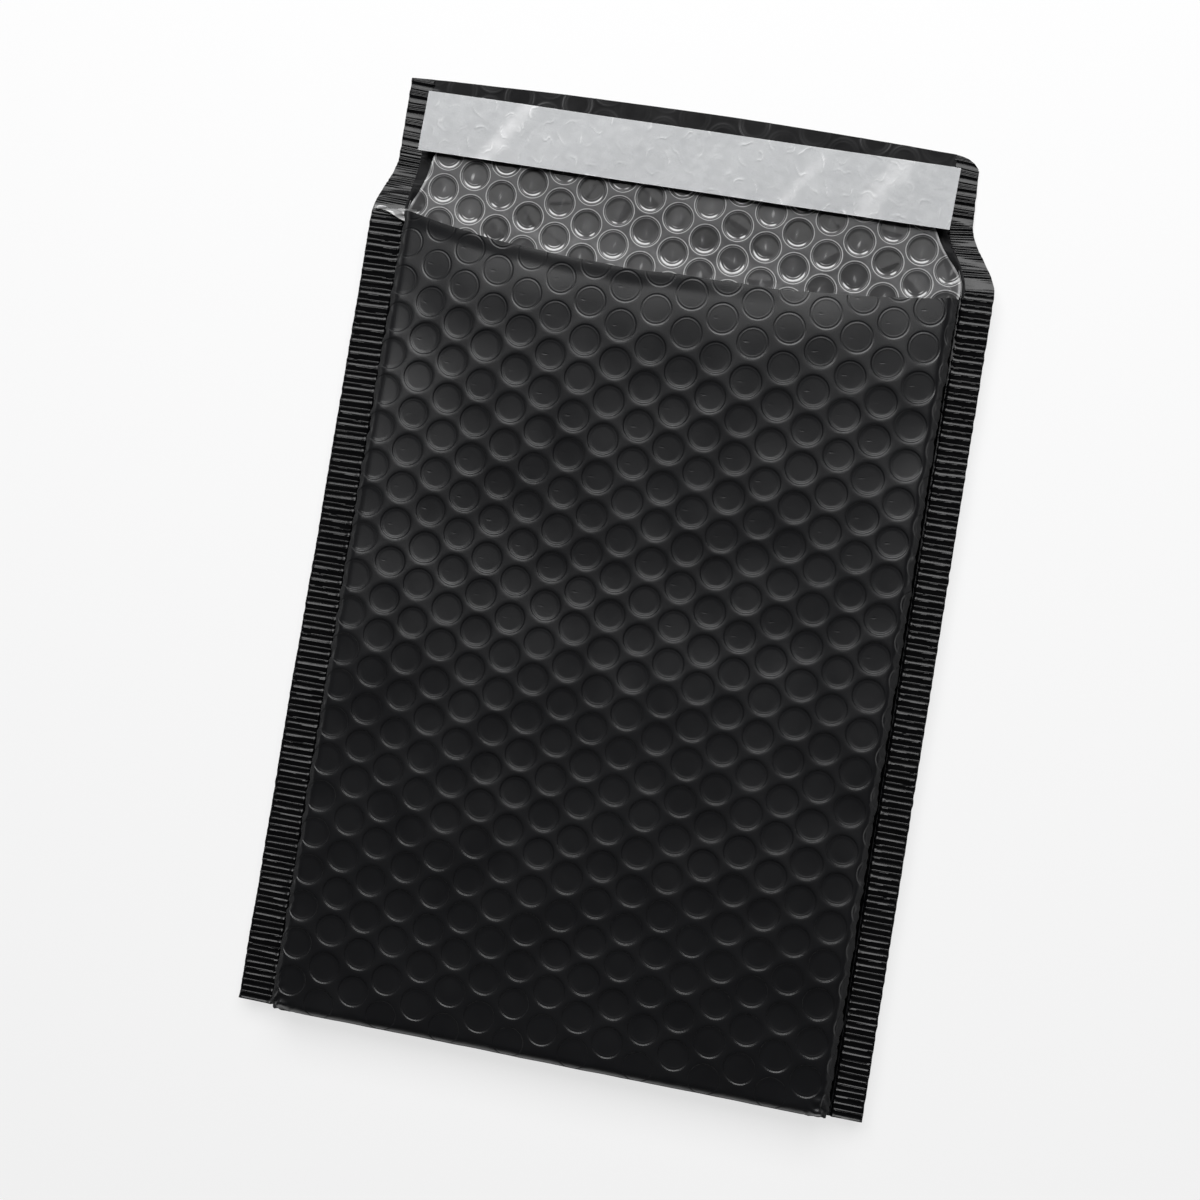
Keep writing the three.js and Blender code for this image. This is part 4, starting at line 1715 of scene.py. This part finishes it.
@dataclass(frozen=True)
class Studio:
    """White table, a soft lamp and the camera at the photograph's angle.

    Attributes:
        table: half the side of the table, in metres.
        table_colour: its colour.
        walls: brightness of the room low over the table.
        ceiling: brightness of the rest of the room.
        haze: heights, as parts of a unit ray, between which the one turns into the other.
        shade: share of the table's own shading that the camera sees.
        camera_place: camera's place in metres.
        camera_look: direction it looks in.
        camera_up: its upward direction.
        focal: focal length on a 36 mm wide sensor.
    """

    table: float = 3.0
    table_colour: Colour = (0.93, 0.93, 0.935)
    walls: float = 1.0
    ceiling: float = 0.05
    haze: tuple[float, float] = (0.02, 0.10)
    shade: float = 0.3
    camera_place: tuple[float, float, float] = (0.0489, -0.00734, 0.4273)
    camera_look: tuple[float, float, float] = (-0.12548, 0.00267, -0.99209)
    camera_up: tuple[float, float, float] = (-0.15723, 0.98731, 0.02255)
    focal: float = 45.0

    def build_table(self) -> Object:
        """White table that catches the shadow.

        Returns:
            The table.
        """
        mesh = bpy.data.meshes.new("table")
        s = self.table
        mesh.from_pydata([(-s, -s, 0.0), (s, -s, 0.0), (s, s, 0.0), (-s, s, 0.0)], [], [(0, 1, 2, 3)])
        material = bpy.data.materials.new("white_table")
        graph = Graph(material)
        nodes = graph.tree.nodes
        shader = nodes["Principled BSDF"]
        matt = {"Base Color": (*self.table_colour, 1.0), "Roughness": 0.9, "Specular IOR Level": 0.1}
        graph.feed(shader, matt)
        share = {0: self.seen(graph), 1: 1.0 - self.shade}
        part = graph.add("ShaderNodeMath", share, operation="MULTIPLY")
        white = graph.add("ShaderNodeEmission")
        mixed = {"Fac": part.outputs[0], 1: shader.outputs["BSDF"], 2: white.outputs["Emission"]}
        mix = graph.add("ShaderNodeMixShader", mixed)
        graph.feed(nodes["Material Output"], {"Surface": mix.outputs["Shader"]})
        mesh.materials.append(material)
        table = bpy.data.objects.new("table", mesh)
        bpy.context.scene.collection.objects.link(table)
        return table

    def seen(self, graph: Graph) -> Socket:
        """Whether a ray comes from the camera, from a mirror-like face or through a clear one.

        Args:
            graph: the table's nodes.

        Returns:
            1 for such a ray, else 0.
        """
        path = graph.add("ShaderNodeLightPath")
        total = path.outputs["Is Camera Ray"]
        for name in ("Is Glossy Ray", "Is Transmission Ray"):
            inputs = {0: total, 1: path.outputs[name]}
            total = graph.add("ShaderNodeMath", inputs, operation="ADD", use_clamp=True).outputs[0]
        return total

    def lamp(self, name: str, place: tuple, aim: tuple, size: tuple, power: float) -> None:
        """Adds a soft rectangular lamp.

        Args:
            name: the lamp's name.
            place: where it hangs, in metres.
            aim: the point that it faces.
            size: width and height in metres.
            power: in watts.
        """
        data = bpy.data.lights.new(name, "AREA")
        data.shape = "RECTANGLE"
        data.size, data.size_y = size
        data.energy = power
        lamp = bpy.data.objects.new(name, data)
        away = Vector(aim) - Vector(place)
        lamp.rotation_euler = away.to_track_quat("-Z", "Y").to_euler()
        lamp.location = place
        bpy.context.scene.collection.objects.link(lamp)

    def build_room(self) -> None:
        """Room light: pale low over the table and dim above, and plain white where the camera sees it."""
        world = bpy.data.worlds.new("room")
        graph = Graph(world)
        place = graph.add("ShaderNodeTexCoord")
        split = graph.add("ShaderNodeSeparateXYZ", {"Vector": place.outputs["Generated"]})
        fade = {"Value": split.outputs["Z"], "To Min": self.walls, "To Max": self.ceiling}
        fade["From Min"], fade["From Max"] = self.haze
        height = graph.add("ShaderNodeMapRange", fade, interpolation_type="SMOOTHSTEP")
        path = graph.add("ShaderNodeLightPath")
        inputs = {0: height.outputs["Result"], 1: path.outputs["Is Camera Ray"]}
        brighter = graph.add("ShaderNodeMath", inputs, operation="MAXIMUM")
        light = {"Strength": brighter.outputs[0], "Color": (1.0, 1.0, 1.0, 1.0)}
        graph.feed(graph.tree.nodes["Background"], light)
        bpy.context.scene.world = world

    def build(self) -> None:
        """Sets up table, room light, lamp and camera."""
        self.build_table()
        self.build_room()
        self.lamp("window", (-0.06, 0.60, 0.78), (0.0, 0.03, 0.0), (1.0, 0.66), 12.0)
        data = bpy.data.cameras.new("camera")
        data.lens = self.focal
        data.sensor_width = 36.0
        data.clip_start = 0.01
        camera = bpy.data.objects.new("camera", data)
        back = -Vector(self.camera_look).normalized()
        right = Vector(self.camera_up).cross(back).normalized()
        up = back.cross(right)
        turn = Matrix((right, up, back)).transposed()
        camera.matrix_world = Matrix.Translation(self.camera_place) @ turn.to_4x4()
        bpy.context.scene.collection.objects.link(camera)
        bpy.context.scene.camera = camera
        bpy.context.scene.view_settings.view_transform = "Standard"


def clear_scene() -> None:
    """Removes whatever the empty file starts with."""
    for thing in list(bpy.data.objects):
        bpy.data.objects.remove(thing)


def main() -> None:
    """Loads the frame, builds each piece round it and sets up the table, lights and camera."""
    logging.basicConfig(level=logging.INFO, format="%(message)s")
    clear_scene()
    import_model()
    front = FrontPanel().build()
    back = BackPanel().build()
    Flap().build()
    SideSeal(name="side_seal_left", side=Side.LEFT, flap_pitch=4.2).build()
    SideSeal(name="side_seal_right", side=Side.RIGHT, flap_pitch=3.7).build()
    LiningTail().build()
    LiningCrease().build()
    LiningPad(name="lining_front_pad", front=True, outer_up=False, setback=1.5).build()
    LiningPad(name="lining_back_pad", front=False, setback=16.0).build()
    Glue().build()
    Liner().build()
    Studio().build()
    log.info("pieces are in place")


if __name__ == "__main__":
    main()
